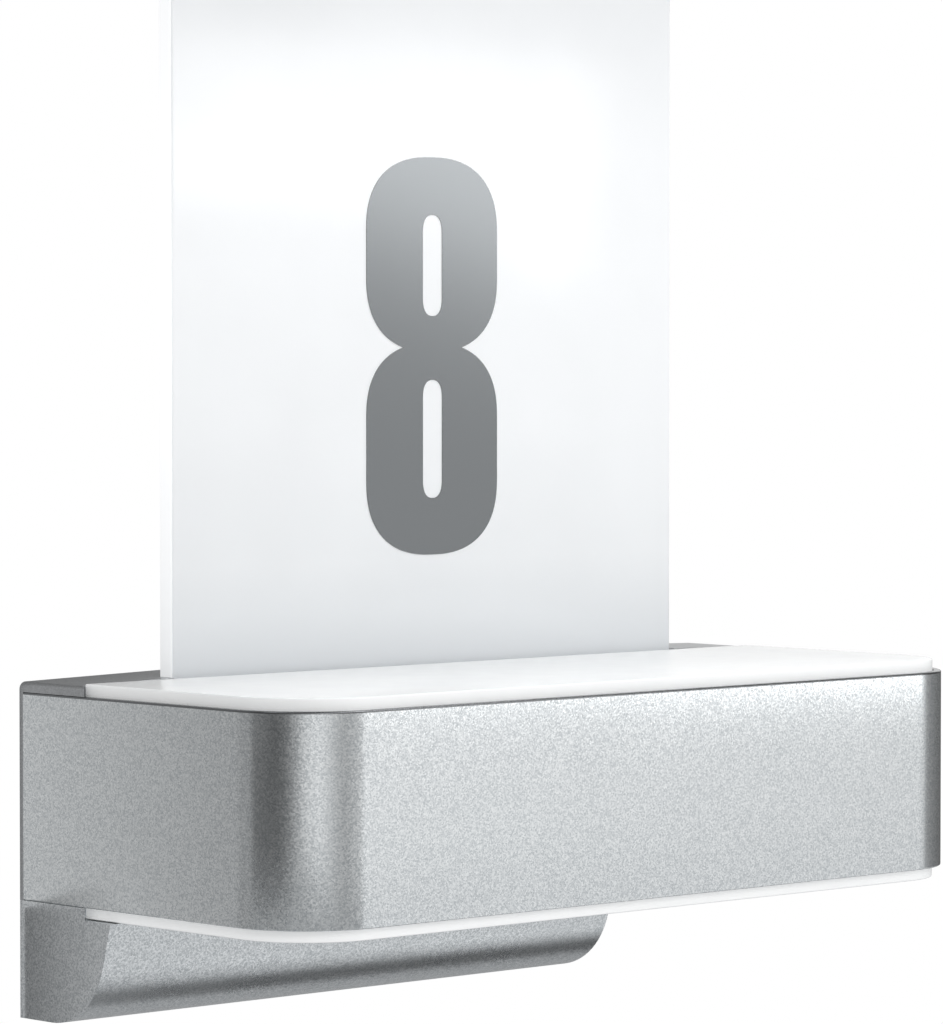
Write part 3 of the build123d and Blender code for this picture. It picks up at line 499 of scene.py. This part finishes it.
def roundedEdge(radius, low, high, steps=4):
    # (inset, level) pairs up the side of a sheet with rounded edges
    turns = [math.radians(90 * i / steps) for i in range(steps + 1)]
    foot = [(radius * (1 - math.sin(a)), low + radius * (1 - math.cos(a))) for a in turns]
    return foot + [(inset, high - (level - low)) for inset, level in reversed(foot)]


# "rearShrink" is under 1, so that the rear corners keep a little radius at the deepest inset
plateLook = {"cornerRadius": 19.8 * mm, "rearRadius": 0.3 * mm, "rearShrink": 0.9, "edge": 0.3 * mm,
             "steps": 24}


def opalPlate(node, material):
    low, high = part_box(node)
    rings = []
    for inset, level in roundedEdge(plateLook["edge"], low.z, high.z):
        frontRadius = plateLook["cornerRadius"] - inset
        rearRadius = plateLook["rearRadius"] - inset * plateLook["rearShrink"]
        outline = roundedOutline((low.x + inset, low.y + inset), (high.x - inset, high.y - inset),
                                 frontRadius, rearRadius, plateLook["steps"])
        rings.append([(x, y, level) for x, y in outline])
    dress(stackedRings(node + "_plate", rings), node, node + "_plate", material)


opalPlate("upper_diffuser", opal)
opalPlate("lower_diffuser", opalLowerPaintedGlow)

panelLook = {"edge": 0.45 * mm, "corner": 1.0 * mm, "steps": 6}


def standingPanel():
    rings = []
    for inset, depth in roundedEdge(panelLook["edge"], panelLow.y, panelHigh.y):
        corner = panelLook["corner"] - inset
        outline = roundedOutline((panelLow.x + inset, panelLow.z + inset),
                                 (panelHigh.x - inset, panelHigh.z - inset),
                                 corner, corner, panelLook["steps"])
        rings.append([(x, depth, z) for x, z in outline])
    dress(stackedRings("panel_sheet", rings), "number_panel", "panel_sheet", panelWhite)


standingPanel()

# The digit: two bowls with squarish round ends, which run into each other at the waist
digitLook = {"waist": 52.2 * mm, "waistHalf": 10.0 * mm, "endBulge": 19 * mm,
             "waistBulge": 19 * mm, "square": 2.45, "counterHalf": 3.25 * mm,
             "counterBulge": 4.6 * mm, "lowerCounter": (14.3 * mm, 44 * mm),
             "upperCounter": (60.1 * mm, 85.5 * mm), "steps": 40, "leastStep": 0.01 * mm,
             "softEdge": 0.03 * mm}


def bowl(half, middle, bulge, start, end):
    # Part of a superellipse round (0, middle), from angle start to end in degrees
    power = 2 / digitLook["square"]
    steps = digitLook["steps"]
    turns = [math.radians(start + (end - start) * i / steps) for i in range(steps + 1)]
    return [(half * math.copysign(abs(math.cos(a)) ** power, math.cos(a)),
             middle + bulge * math.copysign(abs(math.sin(a)) ** power, math.sin(a))) for a in turns]


def digitOutline(half, height):
    look = digitLook
    share = (look["waistHalf"] / half) ** look["square"]
    drop = look["waistBulge"] * (1 - share) ** (1 / look["square"])
    meet = math.degrees(math.acos((look["waistHalf"] / half) ** (look["square"] / 2)))
    lowerTop = look["waist"] - drop
    upperFoot = look["waist"] + drop
    outline = bowl(half, look["endBulge"], look["endBulge"], 180, 360)
    outline += bowl(half, lowerTop, look["waistBulge"], 0, meet)
    outline += bowl(half, upperFoot, look["waistBulge"], -meet, 0)
    outline += bowl(half, height - look["endBulge"], look["endBulge"], 0, 180)
    outline += bowl(half, upperFoot, look["waistBulge"], 180, 180 + meet)
    return outline + bowl(half, lowerTop, look["waistBulge"], 180 - meet, 180)


def counterOutline(low, high):
    half, bulge = digitLook["counterHalf"], digitLook["counterBulge"]
    return bowl(half, high - bulge, bulge, 0, 180) + bowl(half, low + bulge, bulge, 180, 360)


def digitFilm():
    low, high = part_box("number_foil")
    sheet = bpy.data.curves.new("digit_outline", "CURVE")
    sheet.dimensions = "2D"
    sheet.fill_mode = "BOTH"
    sheet.extrude = (high.y - low.y) / 2 - digitLook["softEdge"]
    sheet.bevel_depth = digitLook["softEdge"]
    sheet.offset = -digitLook["softEdge"]
    sheet.bevel_resolution = 1
    outlines = [digitOutline((high.x - low.x) / 2, high.z - low.z),
                counterOutline(*digitLook["lowerCounter"]),
                counterOutline(*digitLook["upperCounter"])]
    for outline in outlines:
        kept = [p for p, q in zip(outline, outline[1:] + outline[:1])
                if math.dist(p, q) > digitLook["leastStep"]]
        spline = sheet.splines.new("POLY")
        spline.points.add(len(kept) - 1)
        for point, (x, z) in zip(spline.points, kept):
            point.co = (x, z, 0, 1)
        spline.use_cyclic_u = True
    flat = bpy.data.objects.new("digit_outline", sheet)
    bpy.context.collection.objects.link(flat)
    mesh = evaluated(flat)
    bpy.data.objects.remove(flat)
    mesh.transform(Matrix.Translation(((low.x + high.x) / 2, (low.y + high.y) / 2, low.z))
                   @ Matrix.Rotation(math.radians(90), 4, "X"))
    dress(mesh, "number_foil", "digit_film", film)


digitFilm()
print("plates, panel and digit made")


def groupInput(tree, name, kind, value=None):
    socket = tree.interface.new_socket(name, in_out="INPUT", socket_type="NodeSocket" + kind)
    if value is not None:
        socket.default_value = value


def grown(tree, base, values, name):
    # Runs a tree on a mesh and gives the result as a plain mesh, its inputs set by identifier
    carrier = bpy.data.objects.new(name, base)
    bpy.context.collection.objects.link(carrier)
    modifier = carrier.modifiers.new(tree.name, "NODES")
    modifier.node_group = tree
    for item in tree.interface.items_tree:
        if item.item_type == "SOCKET" and item.in_out == "INPUT" and item.name in values:
            modifier[item.identifier] = values[item.name]
    mesh = evaluated(carrier)
    bpy.data.objects.remove(carrier)
    return mesh


# The band is one strip bent round both front corners; the path runs in the middle of its wall
bandLook = {"wall": 2.0 * mm, "cornerRadius": 22.0 * mm, "edge": 0.4 * mm, "cornerSteps": 40,
            "edgeSteps": 4, "smoothAngle": 50}


def bentStripTree():
    tree = bpy.data.node_groups.new("bent_strip", "GeometryNodeTree")
    groupInput(tree, "Path", "Geometry")
    for name in ("Wall", "Height", "Corner radius", "Edge radius"):
        groupInput(tree, name, "Float")
    groupInput(tree, "Corner steps", "Int", 24)
    groupInput(tree, "Edge steps", "Int", 4)
    groupInput(tree, "Material", "Material")
    tree.interface.new_socket("Geometry", in_out="OUTPUT", socket_type="NodeSocketGeometry")
    given = addNode(tree, "NodeGroupInput").outputs
    line = addNode(tree, "GeometryNodeMeshToCurve", inputs={"Mesh": given["Path"]})
    bent = addNode(tree, "GeometryNodeFilletCurve", {"mode": "POLY"},
                   {"Curve": line.outputs[0], "Count": given["Corner steps"],
                    "Radius": given["Corner radius"]})
    upright = addNode(tree, "GeometryNodeSetCurveNormal", {"mode": "Z_UP"},
                      {"Curve": bent.outputs[0]})
    section = addNode(tree, "GeometryNodeCurvePrimitiveQuadrilateral",
                      inputs={"Width": given["Wall"], "Height": given["Height"]})
    soft = addNode(tree, "GeometryNodeFilletCurve", {"mode": "POLY"},
                   {"Curve": section.outputs[0], "Count": given["Edge steps"],
                    "Radius": given["Edge radius"]})
    strip = addNode(tree, "GeometryNodeCurveToMesh",
                    inputs={"Curve": upright.outputs[0], "Profile Curve": soft.outputs[0],
                            "Fill Caps": True})
    real = addNode(tree, "GeometryNodeRealizeInstances", inputs={"Geometry": strip.outputs[0]})
    painted = addNode(tree, "GeometryNodeSetMaterial",
                      inputs={"Geometry": real.outputs[0], "Material": given["Material"]})
    addNode(tree, "NodeGroupOutput", inputs={"Geometry": painted.outputs[0]})
    return tree


def bentBand():
    low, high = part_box("band")
    half = bandLook["wall"] / 2
    middle = (low.z + high.z) / 2
    path = bpy.data.meshes.new("band_path")
    path.from_pydata([(low.x + half, high.y, middle), (low.x + half, low.y + half, middle),
                      (high.x - half, low.y + half, middle), (high.x - half, high.y, middle)],
                     [(0, 1), (1, 2), (2, 3)], [])
    values = {"Wall": bandLook["wall"], "Height": high.z - low.z,
              "Corner radius": bandLook["cornerRadius"] - half, "Edge radius": bandLook["edge"],
              "Corner steps": bandLook["cornerSteps"], "Edge steps": bandLook["edgeSteps"],
              "Material": silverBand}
    mesh = grown(bentStripTree(), path, values, "bent_band")
    dress(mesh, "band", "bent_band", silverBand, bandLook["smoothAngle"])


bentBand()
print("band bent")

# Mouldings and folded sheet: a merged copy of the CAD shape whose sharp edges get the small radius
# that the real process leaves. Where the two mouldings meet flush, their edges stay sharp
softLook = {"sharpAngle": 38, "flatAngle": 0.4, "smoothAngle": 32, "edgeSteps": 2,
            "mergeGap": 0.002 * mm, "flushLevel": -25 * mm, "flushReach": 0.01 * mm, "pieces": {
    "rear_housing": ("moulded_housing", 0.2 * mm), "sensor_housing": ("moulded_chin", 0.2 * mm),
    "wall_bracket": ("folded_bracket", 0.12 * mm), "cable_grommet": ("moulded_grommet", 0.25 * mm),
    "wall_seal": ("cut_seal", 0.3 * mm), "panel_rail": ("extruded_rail", 0.12 * mm),
    "led_driver": ("driver_box", 0.4 * mm), "terminal_block": ("moulded_terminals", 0.15 * mm),
    "reach_dial": ("reach_knob", 0.12 * mm), "twilight_dial": ("twilight_knob", 0.12 * mm),
    "time_dial": ("time_knob", 0.12 * mm)}}


def softenedCopy(node, name, edge, material):
    form = bmesh.new()
    form.from_mesh(nodes[node].data)
    bmesh.ops.remove_doubles(form, verts=form.verts, dist=softLook["mergeGap"])
    bmesh.ops.dissolve_limit(form, angle_limit=math.radians(softLook["flatAngle"]),
                             verts=form.verts, edges=form.edges)
    flush = {v for v in form.verts
             if abs(v.co.z - softLook["flushLevel"]) < softLook["flushReach"]}
    sharp = [e for e in form.edges if len(e.link_faces) == 2
             and e.calc_face_angle(0) > math.radians(softLook["sharpAngle"])
             and not flush.issuperset(e.verts)]
    bmesh.ops.bevel(form, geom=sharp, offset=edge, segments=softLook["edgeSteps"], profile=0.5,
                    affect="EDGES", clamp_overlap=True, material=-1)
    mesh = bpy.data.meshes.new(name)
    form.to_mesh(mesh)
    form.free()
    piece = dress(mesh, node, name, material, softLook["smoothAngle"])
    even = piece.modifiers.new("even_shading", "WEIGHTED_NORMAL")
    even.keep_sharp = True
    piece.data = evaluated(piece)
    piece.modifiers.clear()


for node, (name, edge) in softLook["pieces"].items():
    softenedCopy(node, name, edge,
                 silverChin if node == "sensor_housing" else slotMaterials[slotOf[node]])
print("mouldings softened")

# Pan-head screws with a cross recess. "head" is its height, "up" the way that it faces. "dome" is
# the power that swells a ball into the head's shape, and a smaller one makes it squarer. The arms
# and "lap", the part of the shank inside the head, are shares of the head's width or height
screwLook = {"dome": 0.45, "armWidth": 0.17, "armSpan": 0.58, "armDepth": 0.55, "lap": 0.2,
             "segments": 32, "rings": 20, "smoothAngle": 40, "seed": 7}
wallward, upward, downward = (0, 1, 0), (0, 0, 1), (0, 0, -1)
screwSets = {
    "frame_screws": {"up": wallward, "head": 1.8 * mm, "shank": 3 * mm},
    "rail_screws": {"up": wallward, "head": 1.8 * mm, "shank": 3 * mm},
    "chin_screws": {"up": upward, "head": 1.8 * mm, "shank": 3 * mm},
    "locking_screws": {"up": downward, "head": 2.4 * mm, "shank": 4 * mm},
    "upper_reflector_screws": {"up": upward, "head": 1.8 * mm, "shank": 3 * mm},
    "lower_reflector_screws": {"up": downward, "head": 1.8 * mm, "shank": 3 * mm},
    "upper_board_screws": {"up": upward, "head": 1.8 * mm, "shank": 3 * mm},
    "lower_board_screws": {"up": downward, "head": 1.8 * mm, "shank": 3 * mm},
}


def screwTree():
    tree = bpy.data.node_groups.new("pan_head_screws", "GeometryNodeTree")
    groupInput(tree, "Seats", "Geometry")
    for name in ("Head width", "Head height", "Shank", "Length", "Lap", "Dome", "Arm width",
                 "Arm span", "Arm depth"):
        groupInput(tree, name, "Float")
    groupInput(tree, "Up", "Vector")
    groupInput(tree, "Segments", "Int", 32)
    groupInput(tree, "Rings", "Int", 20)
    groupInput(tree, "Seed", "Int")
    groupInput(tree, "Material", "Material")
    tree.interface.new_socket("Geometry", in_out="OUTPUT", socket_type="NodeSocketGeometry")
    given = addNode(tree, "NodeGroupInput").outputs
    # The head is a ball pressed flat below and swollen towards a drum above
    ball = addNode(tree, "GeometryNodeMeshUVSphere",
                   inputs={"Segments": given["Segments"], "Rings": given["Rings"], "Radius": 1.0})
    place = addNode(tree, "GeometryNodeInputPosition").outputs[0]
    axes = addNode(tree, "ShaderNodeSeparateXYZ", inputs={"Vector": place})
    flat = addNode(tree, "ShaderNodeVectorMath", {"operation": "MULTIPLY"},
                   {0: place, 1: (1, 1, 0)})
    reach = addNode(tree, "ShaderNodeVectorMath", {"operation": "LENGTH"}, {0: flat.outputs[0]})
    # Never zero at the poles, because the power below is negative
    safe = addNode(tree, "ShaderNodeMath", {"operation": "MAXIMUM"},
                   {0: reach.outputs["Value"], 1: 0.0001})
    less = addNode(tree, "ShaderNodeMath", {"operation": "SUBTRACT"}, {0: given["Dome"], 1: 1.0})
    swell = addNode(tree, "ShaderNodeMath", {"operation": "POWER"},
                    {0: safe.outputs[0], 1: less.outputs[0]})
    half = addNode(tree, "ShaderNodeMath", {"operation": "MULTIPLY"},
                   {0: given["Head width"], 1: 0.5})
    wide = addNode(tree, "ShaderNodeMath", {"operation": "MULTIPLY"},
                   {0: swell.outputs[0], 1: half.outputs[0]})
    rounded = addNode(tree, "ShaderNodeVectorMath", {"operation": "SCALE"},
                      {0: flat.outputs[0], "Scale": wide.outputs[0]})
    above = addNode(tree, "ShaderNodeMath", {"operation": "MAXIMUM"},
                    {0: axes.outputs["Z"], 1: 0.0})
    crown = addNode(tree, "ShaderNodeMath", {"operation": "POWER"},
                    {0: above.outputs[0], 1: given["Dome"]})
    rise = addNode(tree, "ShaderNodeMath", {"operation": "MULTIPLY"},
                   {0: crown.outputs[0], 1: given["Head height"]})
    lifted = addNode(tree, "ShaderNodeCombineXYZ", inputs={"Z": rise.outputs[0]})
    shaped = addNode(tree, "ShaderNodeVectorMath", {"operation": "ADD"},
                     {0: rounded.outputs[0], 1: lifted.outputs[0]})
    head = addNode(tree, "GeometryNodeSetPosition",
                   inputs={"Geometry": ball.outputs[0], "Position": shaped.outputs[0]})
    # The shank reaches a little way into the head
    radius = addNode(tree, "ShaderNodeMath", {"operation": "MULTIPLY"}, {0: given["Shank"], 1: 0.5})
    lap = addNode(tree, "ShaderNodeMath", {"operation": "MULTIPLY"},
                  {0: given["Head height"], 1: given["Lap"]})
    whole = addNode(tree, "ShaderNodeMath", {"operation": "ADD"},
                    {0: given["Length"], 1: lap.outputs[0]})
    rod = addNode(tree, "GeometryNodeMeshCylinder",
                  inputs={"Vertices": given["Segments"], "Radius": radius.outputs[0],
                          "Depth": whole.outputs[0]})
    sink = addNode(tree, "ShaderNodeMath", {"operation": "MULTIPLY_ADD"},
                   {0: whole.outputs[0], 1: -0.5, 2: lap.outputs[0]})
    down = addNode(tree, "ShaderNodeCombineXYZ", inputs={"Z": sink.outputs[0]})
    shank = addNode(tree, "GeometryNodeTransform",
                    inputs={"Geometry": rod.outputs[0], "Translation": down.outputs[0]})
    blank = addNode(tree, "GeometryNodeMeshBoolean", {"operation": "UNION", "solver": "EXACT"},
                    {"Mesh 2": head.outputs[0]})
    tree.links.new(shank.outputs[0], blank.inputs["Mesh 2"])
    # Two crossed arms cut the recess
    span = addNode(tree, "ShaderNodeMath", {"operation": "MULTIPLY"},
                   {0: given["Head width"], 1: given["Arm span"]})
    slim = addNode(tree, "ShaderNodeMath", {"operation": "MULTIPLY"},
                   {0: given["Head width"], 1: given["Arm width"]})
    deep = addNode(tree, "ShaderNodeMath", {"operation": "MULTIPLY"},
                   {0: given["Head height"], 1: given["Arm depth"]})
    tall = addNode(tree, "ShaderNodeMath", {"operation": "MULTIPLY"}, {0: deep.outputs[0], 1: 2.0})
    arm = addNode(tree, "ShaderNodeCombineXYZ",
                  inputs={"X": span.outputs[0], "Y": slim.outputs[0], "Z": tall.outputs[0]})
    bar = addNode(tree, "GeometryNodeMeshCube", inputs={"Size": arm.outputs[0]})
    top = addNode(tree, "ShaderNodeCombineXYZ", inputs={"Z": given["Head height"]})
    along = addNode(tree, "GeometryNodeTransform",
                    inputs={"Geometry": bar.outputs[0], "Translation": top.outputs[0]})
    across = addNode(tree, "GeometryNodeTransform",
                     inputs={"Geometry": bar.outputs[0], "Translation": top.outputs[0],
                             "Rotation": (0, 0, math.radians(90))})
    cut = addNode(tree, "GeometryNodeMeshBoolean", {"operation": "DIFFERENCE", "solver": "EXACT"},
                  {"Mesh 1": blank.outputs[0], "Mesh 2": along.outputs[0]})
    tree.links.new(across.outputs[0], cut.inputs["Mesh 2"])
    # One on each seat, turned as it happened to stop
    facing = addNode(tree, "FunctionNodeAlignRotationToVector", {"axis": "Z"},
                     {"Vector": given["Up"]})
    placed = addNode(tree, "GeometryNodeInstanceOnPoints",
                     inputs={"Points": given["Seats"], "Instance": cut.outputs[0],
                             "Rotation": facing.outputs[0]})
    chance = addNode(tree, "FunctionNodeRandomValue", {"data_type": "FLOAT"},
                     {2: 0.0, 3: math.radians(90), "Seed": given["Seed"]})
    spin = addNode(tree, "ShaderNodeCombineXYZ", inputs={"Z": chance.outputs[1]})
    turned = addNode(tree, "GeometryNodeRotateInstances",
                     inputs={"Instances": placed.outputs[0], "Rotation": spin.outputs[0],
                             "Local Space": True})
    real = addNode(tree, "GeometryNodeRealizeInstances", inputs={"Geometry": turned.outputs[0]})
    plated = addNode(tree, "GeometryNodeSetMaterial",
                     inputs={"Geometry": real.outputs[0], "Material": given["Material"]})
    addNode(tree, "NodeGroupOutput", inputs={"Geometry": plated.outputs[0]})
    return tree


def looseParts(node):
    # The box of each separate solid in a CAD node, as a pair of corners
    form = bmesh.new()
    form.from_mesh(nodes[node].data)
    bmesh.ops.remove_doubles(form, verts=form.verts, dist=softLook["mergeGap"])
    unseen, boxes = set(form.verts), []
    for start in form.verts:
        if start not in unseen:
            continue
        unseen.discard(start)
        part = [start]
        for vert in part:
            joined = [edge.other_vert(vert) for edge in vert.link_edges]
            part += [v for v in joined if v in unseen]
            unseen.difference_update(joined)
        boxes.append(tuple(Vector([side(v.co[i] for v in part) for i in range(3)])
                           for side in (min, max)))
    form.free()
    return boxes


def screws(node, look, tree):
    way = Vector(look["up"])
    seats = []
    for low, high in looseParts(node):
        middle, half = (low + high) / 2, (high - low) / 2
        reach = abs(half.dot(way))
        width = 2 * min(half.x, max(half.y, half.z))
        seats.append(middle + way * (reach - look["head"]))
    mesh = bpy.data.meshes.new(node + "_seats")
    mesh.from_pydata(seats, [], [])
    material = slotMaterials[slotOf[node]]
    values = {"Head width": width, "Head height": look["head"], "Shank": look["shank"],
              "Length": 2 * reach - look["head"], "Lap": screwLook["lap"],
              "Dome": screwLook["dome"], "Arm width": screwLook["armWidth"],
              "Arm span": screwLook["armSpan"], "Arm depth": screwLook["armDepth"],
              "Up": look["up"], "Segments": screwLook["segments"], "Rings": screwLook["rings"],
              "Seed": screwLook["seed"], "Material": material}
    grownSet = grown(tree, mesh, values, node + "_set")
    dress(grownSet, node, node + "_set", material, screwLook["smoothAngle"])


panHeads = screwTree()
for node, look in screwSets.items():
    screws(node, look, panHeads)
print("screws set")

# The photograph's viewing angle
view = {"place": (-846.33 * mm, -944.94 * mm, 108.20 * mm), "turn": 42.944, "dip": 1.928,
        "lens": 174.8, "sensor": 36, "near": 10 * mm}
camera = bpy.data.objects.new("camera", bpy.data.cameras.new("camera"))
camera.data.lens = view["lens"]
camera.data.sensor_width = view["sensor"]
camera.data.clip_start = view["near"]
camera.location = view["place"]
camera.rotation_euler = (math.radians(90 - view["dip"]), 0, -math.radians(view["turn"]))
bpy.context.collection.objects.link(camera)
bpy.context.scene.camera = camera

# Softboxes, each turned to face the lamp's middle: place and size in metres, "level" is the
# brightness of its cloth and "lean" tips it to one side, in degrees
lampMiddle = (0, -0.05, 0.03)
softboxes = {
    "front_right_box": {"place": (0.90, -1.02, 0.04), "size": (0.9, 1.1),
                        "level": 0.42, "lean": 0},
    "high_diagonal_box": {"place": (0.96, -1.04, 0.245), "size": (0.6, 0.17),
                          "level": 2.3, "lean": -20},
    "near_top_box": {"place": (0.26, -0.34, 0.58), "size": (0.4, 0.3),
                     "level": 4.4, "lean": 0},
    "high_front_box": {"place": (-0.25, -1.15, 0.62), "size": (0.7, 0.45),
                       "level": 2.4, "lean": 0},
    "left_fill_box": {"place": (-0.95, -0.20, 0.85), "size": (0.6, 0.6),
                      "level": 1.2, "lean": 0},
    "low_front_box": {"place": (0.66, -0.60, -0.53), "size": (0.9, 0.4),
                      "level": 0.45, "lean": 0},
    "lower_front_box": {"place": (0.69, -0.40, -0.78), "size": (0.45, 0.25),
                        "level": 0.3, "lean": 0},
}
for name, look in softboxes.items():
    lamp = bpy.data.lights.new(name, "AREA")
    lamp.shape = "RECTANGLE"
    lamp.size, lamp.size_y = look["size"]
    lamp.energy = look["level"] * math.pi * lamp.size * lamp.size_y
    box = bpy.data.objects.new(name, lamp)
    box.location = look["place"]
    aim = (Vector(lampMiddle) - Vector(look["place"])).to_track_quat("-Z", "Y").to_matrix()
    box.rotation_euler = (aim @ Matrix.Rotation(math.radians(look["lean"]), 3, "Z")).to_euler()
    bpy.context.collection.objects.link(box)

# The studio round the lamp. Metal mirrors it by compass direction, in degrees from +X towards +Y:
# pale in front with darker ends. The camera sees white, and plain surfaces get an even level
studio = {
    "mirrored": [(-180, 0.09), (-170, 0.07), (-158, 0.13), (-146, 0.36), (-134, 0.76),
                 (-118, 0.92), (-106, 0.74), (-94, 0.50), (-84, 0.42), (-74, 0.55), (-60, 0.62),
                 (-44, 0.52), (-34, 0.32), (-20, 0.24), (0, 0.15), (50, 0.05), (80, 0.35),
                 (120, 0.52), (135, 0.42), (152, 0.16), (166, 0.11), (180, 0.09)],
    "overhead": 0.22, "overheadFrom": 0.35, "overheadTo": 0.8,
    "evenAbove": 0.64, "evenBelow": 0.46,
    "skyline": [(-180, 0.0), (15, 0.0), (25, 1.0), (47, 1.0), (52, 0.05)],
    "skylineFrom": 0.01, "skylineTo": 0.05,
}


def studioWorld():
    world = bpy.data.worlds.new("studio")
    bpy.context.scene.world = world
    world.use_nodes = True
    tree = world.node_tree
    tree.nodes.clear()
    direction = addNode(tree, "ShaderNodeTexCoord").outputs["Generated"]
    axes = addNode(tree, "ShaderNodeSeparateXYZ", inputs={"Vector": direction})
    compass = addNode(tree, "ShaderNodeMath", {"operation": "ARCTAN2"},
                      {0: axes.outputs["Y"], 1: axes.outputs["X"]})
    turned = addNode(tree, "ShaderNodeMapRange",
                     inputs={"Value": compass.outputs[0], "From Min": -math.pi,
                             "From Max": math.pi})
    ringStops = [((angle + 180) / 360, level) for angle, level in studio["mirrored"]]
    ring = addNode(tree, "ShaderNodeValToRGB", {"stops": ringStops},
                   {"Fac": turned.outputs["Result"]})
    # Behind the lamp on the right the pale backdrop starts at the horizon, where the plates
    # mirror it
    skyStops = [((angle + 180) / 360, level) for angle, level in studio["skyline"]]
    behind = addNode(tree, "ShaderNodeValToRGB", {"stops": skyStops},
                     {"Fac": turned.outputs["Result"]})
    rising = addNode(tree, "ShaderNodeMapRange",
                     inputs={"Value": axes.outputs["Z"], "From Min": studio["skylineFrom"],
                             "From Max": studio["skylineTo"]})
    backdrop = addNode(tree, "ShaderNodeMath", {"operation": "MULTIPLY"},
                       {0: rising.outputs["Result"], 1: behind.outputs["Color"]})
    sides = addNode(tree, "ShaderNodeMix", {"data_type": "RGBA"},
                    {"Factor": backdrop.outputs[0], 6: ring.outputs["Color"], 7: linear(1.0)})
    upward = addNode(tree, "ShaderNodeMapRange",
                     inputs={"Value": axes.outputs["Z"], "From Min": studio["overheadFrom"],
                             "From Max": studio["overheadTo"]})
    mirrored = addNode(tree, "ShaderNodeMix", {"data_type": "RGBA"},
                       {"Factor": upward.outputs["Result"], 6: sides.outputs[2],
                        7: linear(studio["overhead"])})
    even = addNode(tree, "ShaderNodeMapRange",
                   inputs={"Value": axes.outputs["Z"], "From Min": -1.0,
                           "To Min": studio["evenBelow"], "To Max": studio["evenAbove"]})
    ray = addNode(tree, "ShaderNodeLightPath").outputs
    lit = addNode(tree, "ShaderNodeMix", {"data_type": "RGBA"},
                  {"Factor": ray["Is Glossy Ray"], 6: even.outputs["Result"],
                   7: mirrored.outputs[2]})
    straight = addNode(tree, "ShaderNodeMath", {"operation": "MAXIMUM"},
                       {0: ray["Is Camera Ray"], 1: ray["Is Transmission Ray"]})
    shown = addNode(tree, "ShaderNodeMix", {"data_type": "RGBA"},
                    {"Factor": straight.outputs[0], 6: lit.outputs[2], 7: linear(1.0)})
    background = addNode(tree, "ShaderNodeBackground",
                         inputs={"Color": shown.outputs[2], "Strength": 1.0})
    addNode(tree, "ShaderNodeOutputWorld", inputs={"Surface": background.outputs[0]})


studioWorld()


def stageCard(name, corners, material, onlyMirrored):
    # A flat card that isn't part of the lamp. Some are there only for the metal to mirror
    mesh = bpy.data.meshes.new(name)
    mesh.from_pydata(corners, [], [(0, 1, 2, 3)])
    mesh.materials.append(material)
    card = bpy.data.objects.new(name, mesh)
    bpy.context.collection.objects.link(card)
    if onlyMirrored:
        card.visible_camera = card.visible_diffuse = card.visible_shadow = False


# Pale paper floor, a metre below the lamp
floorLook = {"level": -1.0, "reach": 4.0, "colour": "#D2D3D4", "roughness": 0.9, "paler": 0.42}


def studioFloor():
    # The camera sees the paper paler than it is lit, so that it meets the white backdrop softly
    material, tree, shader = newMaterial("floor_paper")[:3]
    shader.inputs["Base Color"].default_value = linear(floorLook["colour"])
    shader.inputs["Roughness"].default_value = floorLook["roughness"]
    shader.inputs["Emission Color"].default_value = linear("#FFFFFF")
    seen = addNode(tree, "ShaderNodeLightPath").outputs["Is Camera Ray"]
    paler = addNode(tree, "ShaderNodeMath", {"operation": "MULTIPLY"},
                    {0: seen, 1: floorLook["paler"]})
    tree.links.new(paler.outputs[0], shader.inputs["Emission Strength"])
    far, level = floorLook["reach"], floorLook["level"]
    corners = [(-far, -far, level), (far, -far, level), (far, far, level), (-far, far, level)]
    stageCard("studio_floor", corners, material, False)


# Mirrored by the chin's curve: a dark card low on the right, in metres. Mirrored by the left sides:
# pale cards beside the lamp, one for the band that fades away from it and one for the chin that
# brightens
blackLook = {"from": (0.20, -0.12, -0.47), "size": (0.5, 0.23), "colour": "#404040",
             "roughness": 0.9}
cardGap = 1 * mm
paleCards = {
    "band_side_card": {"depth": 0, "low": -500 * mm, "high": 500 * mm, "reach": 200 * mm,
                       "near": 0.60, "far": 0.34, "fade": 90 * mm},
    "chin_side_card": {"depth": -0.5 * mm, "low": -100 * mm, "high": -27 * mm, "reach": 34 * mm,
                       "near": 0.20, "far": 0.62, "fade": 34 * mm},
}


def mirrorCards():
    black, tree, shader = newMaterial("black_card")[:3]
    shader.inputs["Base Color"].default_value = linear(blackLook["colour"])
    shader.inputs["Roughness"].default_value = blackLook["roughness"]
    x, y, z = blackLook["from"]
    wide, deep = blackLook["size"]
    corners = [(x, y, z), (x + wide, y, z), (x + wide, y + deep, z), (x, y + deep, z)]
    stageCard("black_card", corners, black, True)
    beside = cadBox[0].x - cardGap
    for name, look in paleCards.items():
        pale, tree, shader, position = newMaterial(name)
        axes = addNode(tree, "ShaderNodeSeparateXYZ", inputs={"Vector": position})
        fading = addNode(tree, "ShaderNodeMapRange",
                         inputs={"Value": axes.outputs["X"], "From Min": beside - look["fade"],
                                 "From Max": beside, "To Min": look["far"], "To Max": look["near"]})
        shader.inputs["Base Color"].default_value = linear("#000000")
        shader.inputs["Specular IOR Level"].default_value = 0.0
        shader.inputs["Emission Color"].default_value = linear("#FFFFFF")
        tree.links.new(fading.outputs["Result"], shader.inputs["Emission Strength"])
        y, low, high, far = look["depth"], look["low"], look["high"], beside - look["reach"]
        corners = [(beside, y, low), (beside, y, high), (far, y, high), (far, y, low)]
        stageCard(name, corners, pale, True)


studioFloor()
mirrorCards()

bpy.context.scene.view_settings.view_transform = "Standard"
print("scene ready")
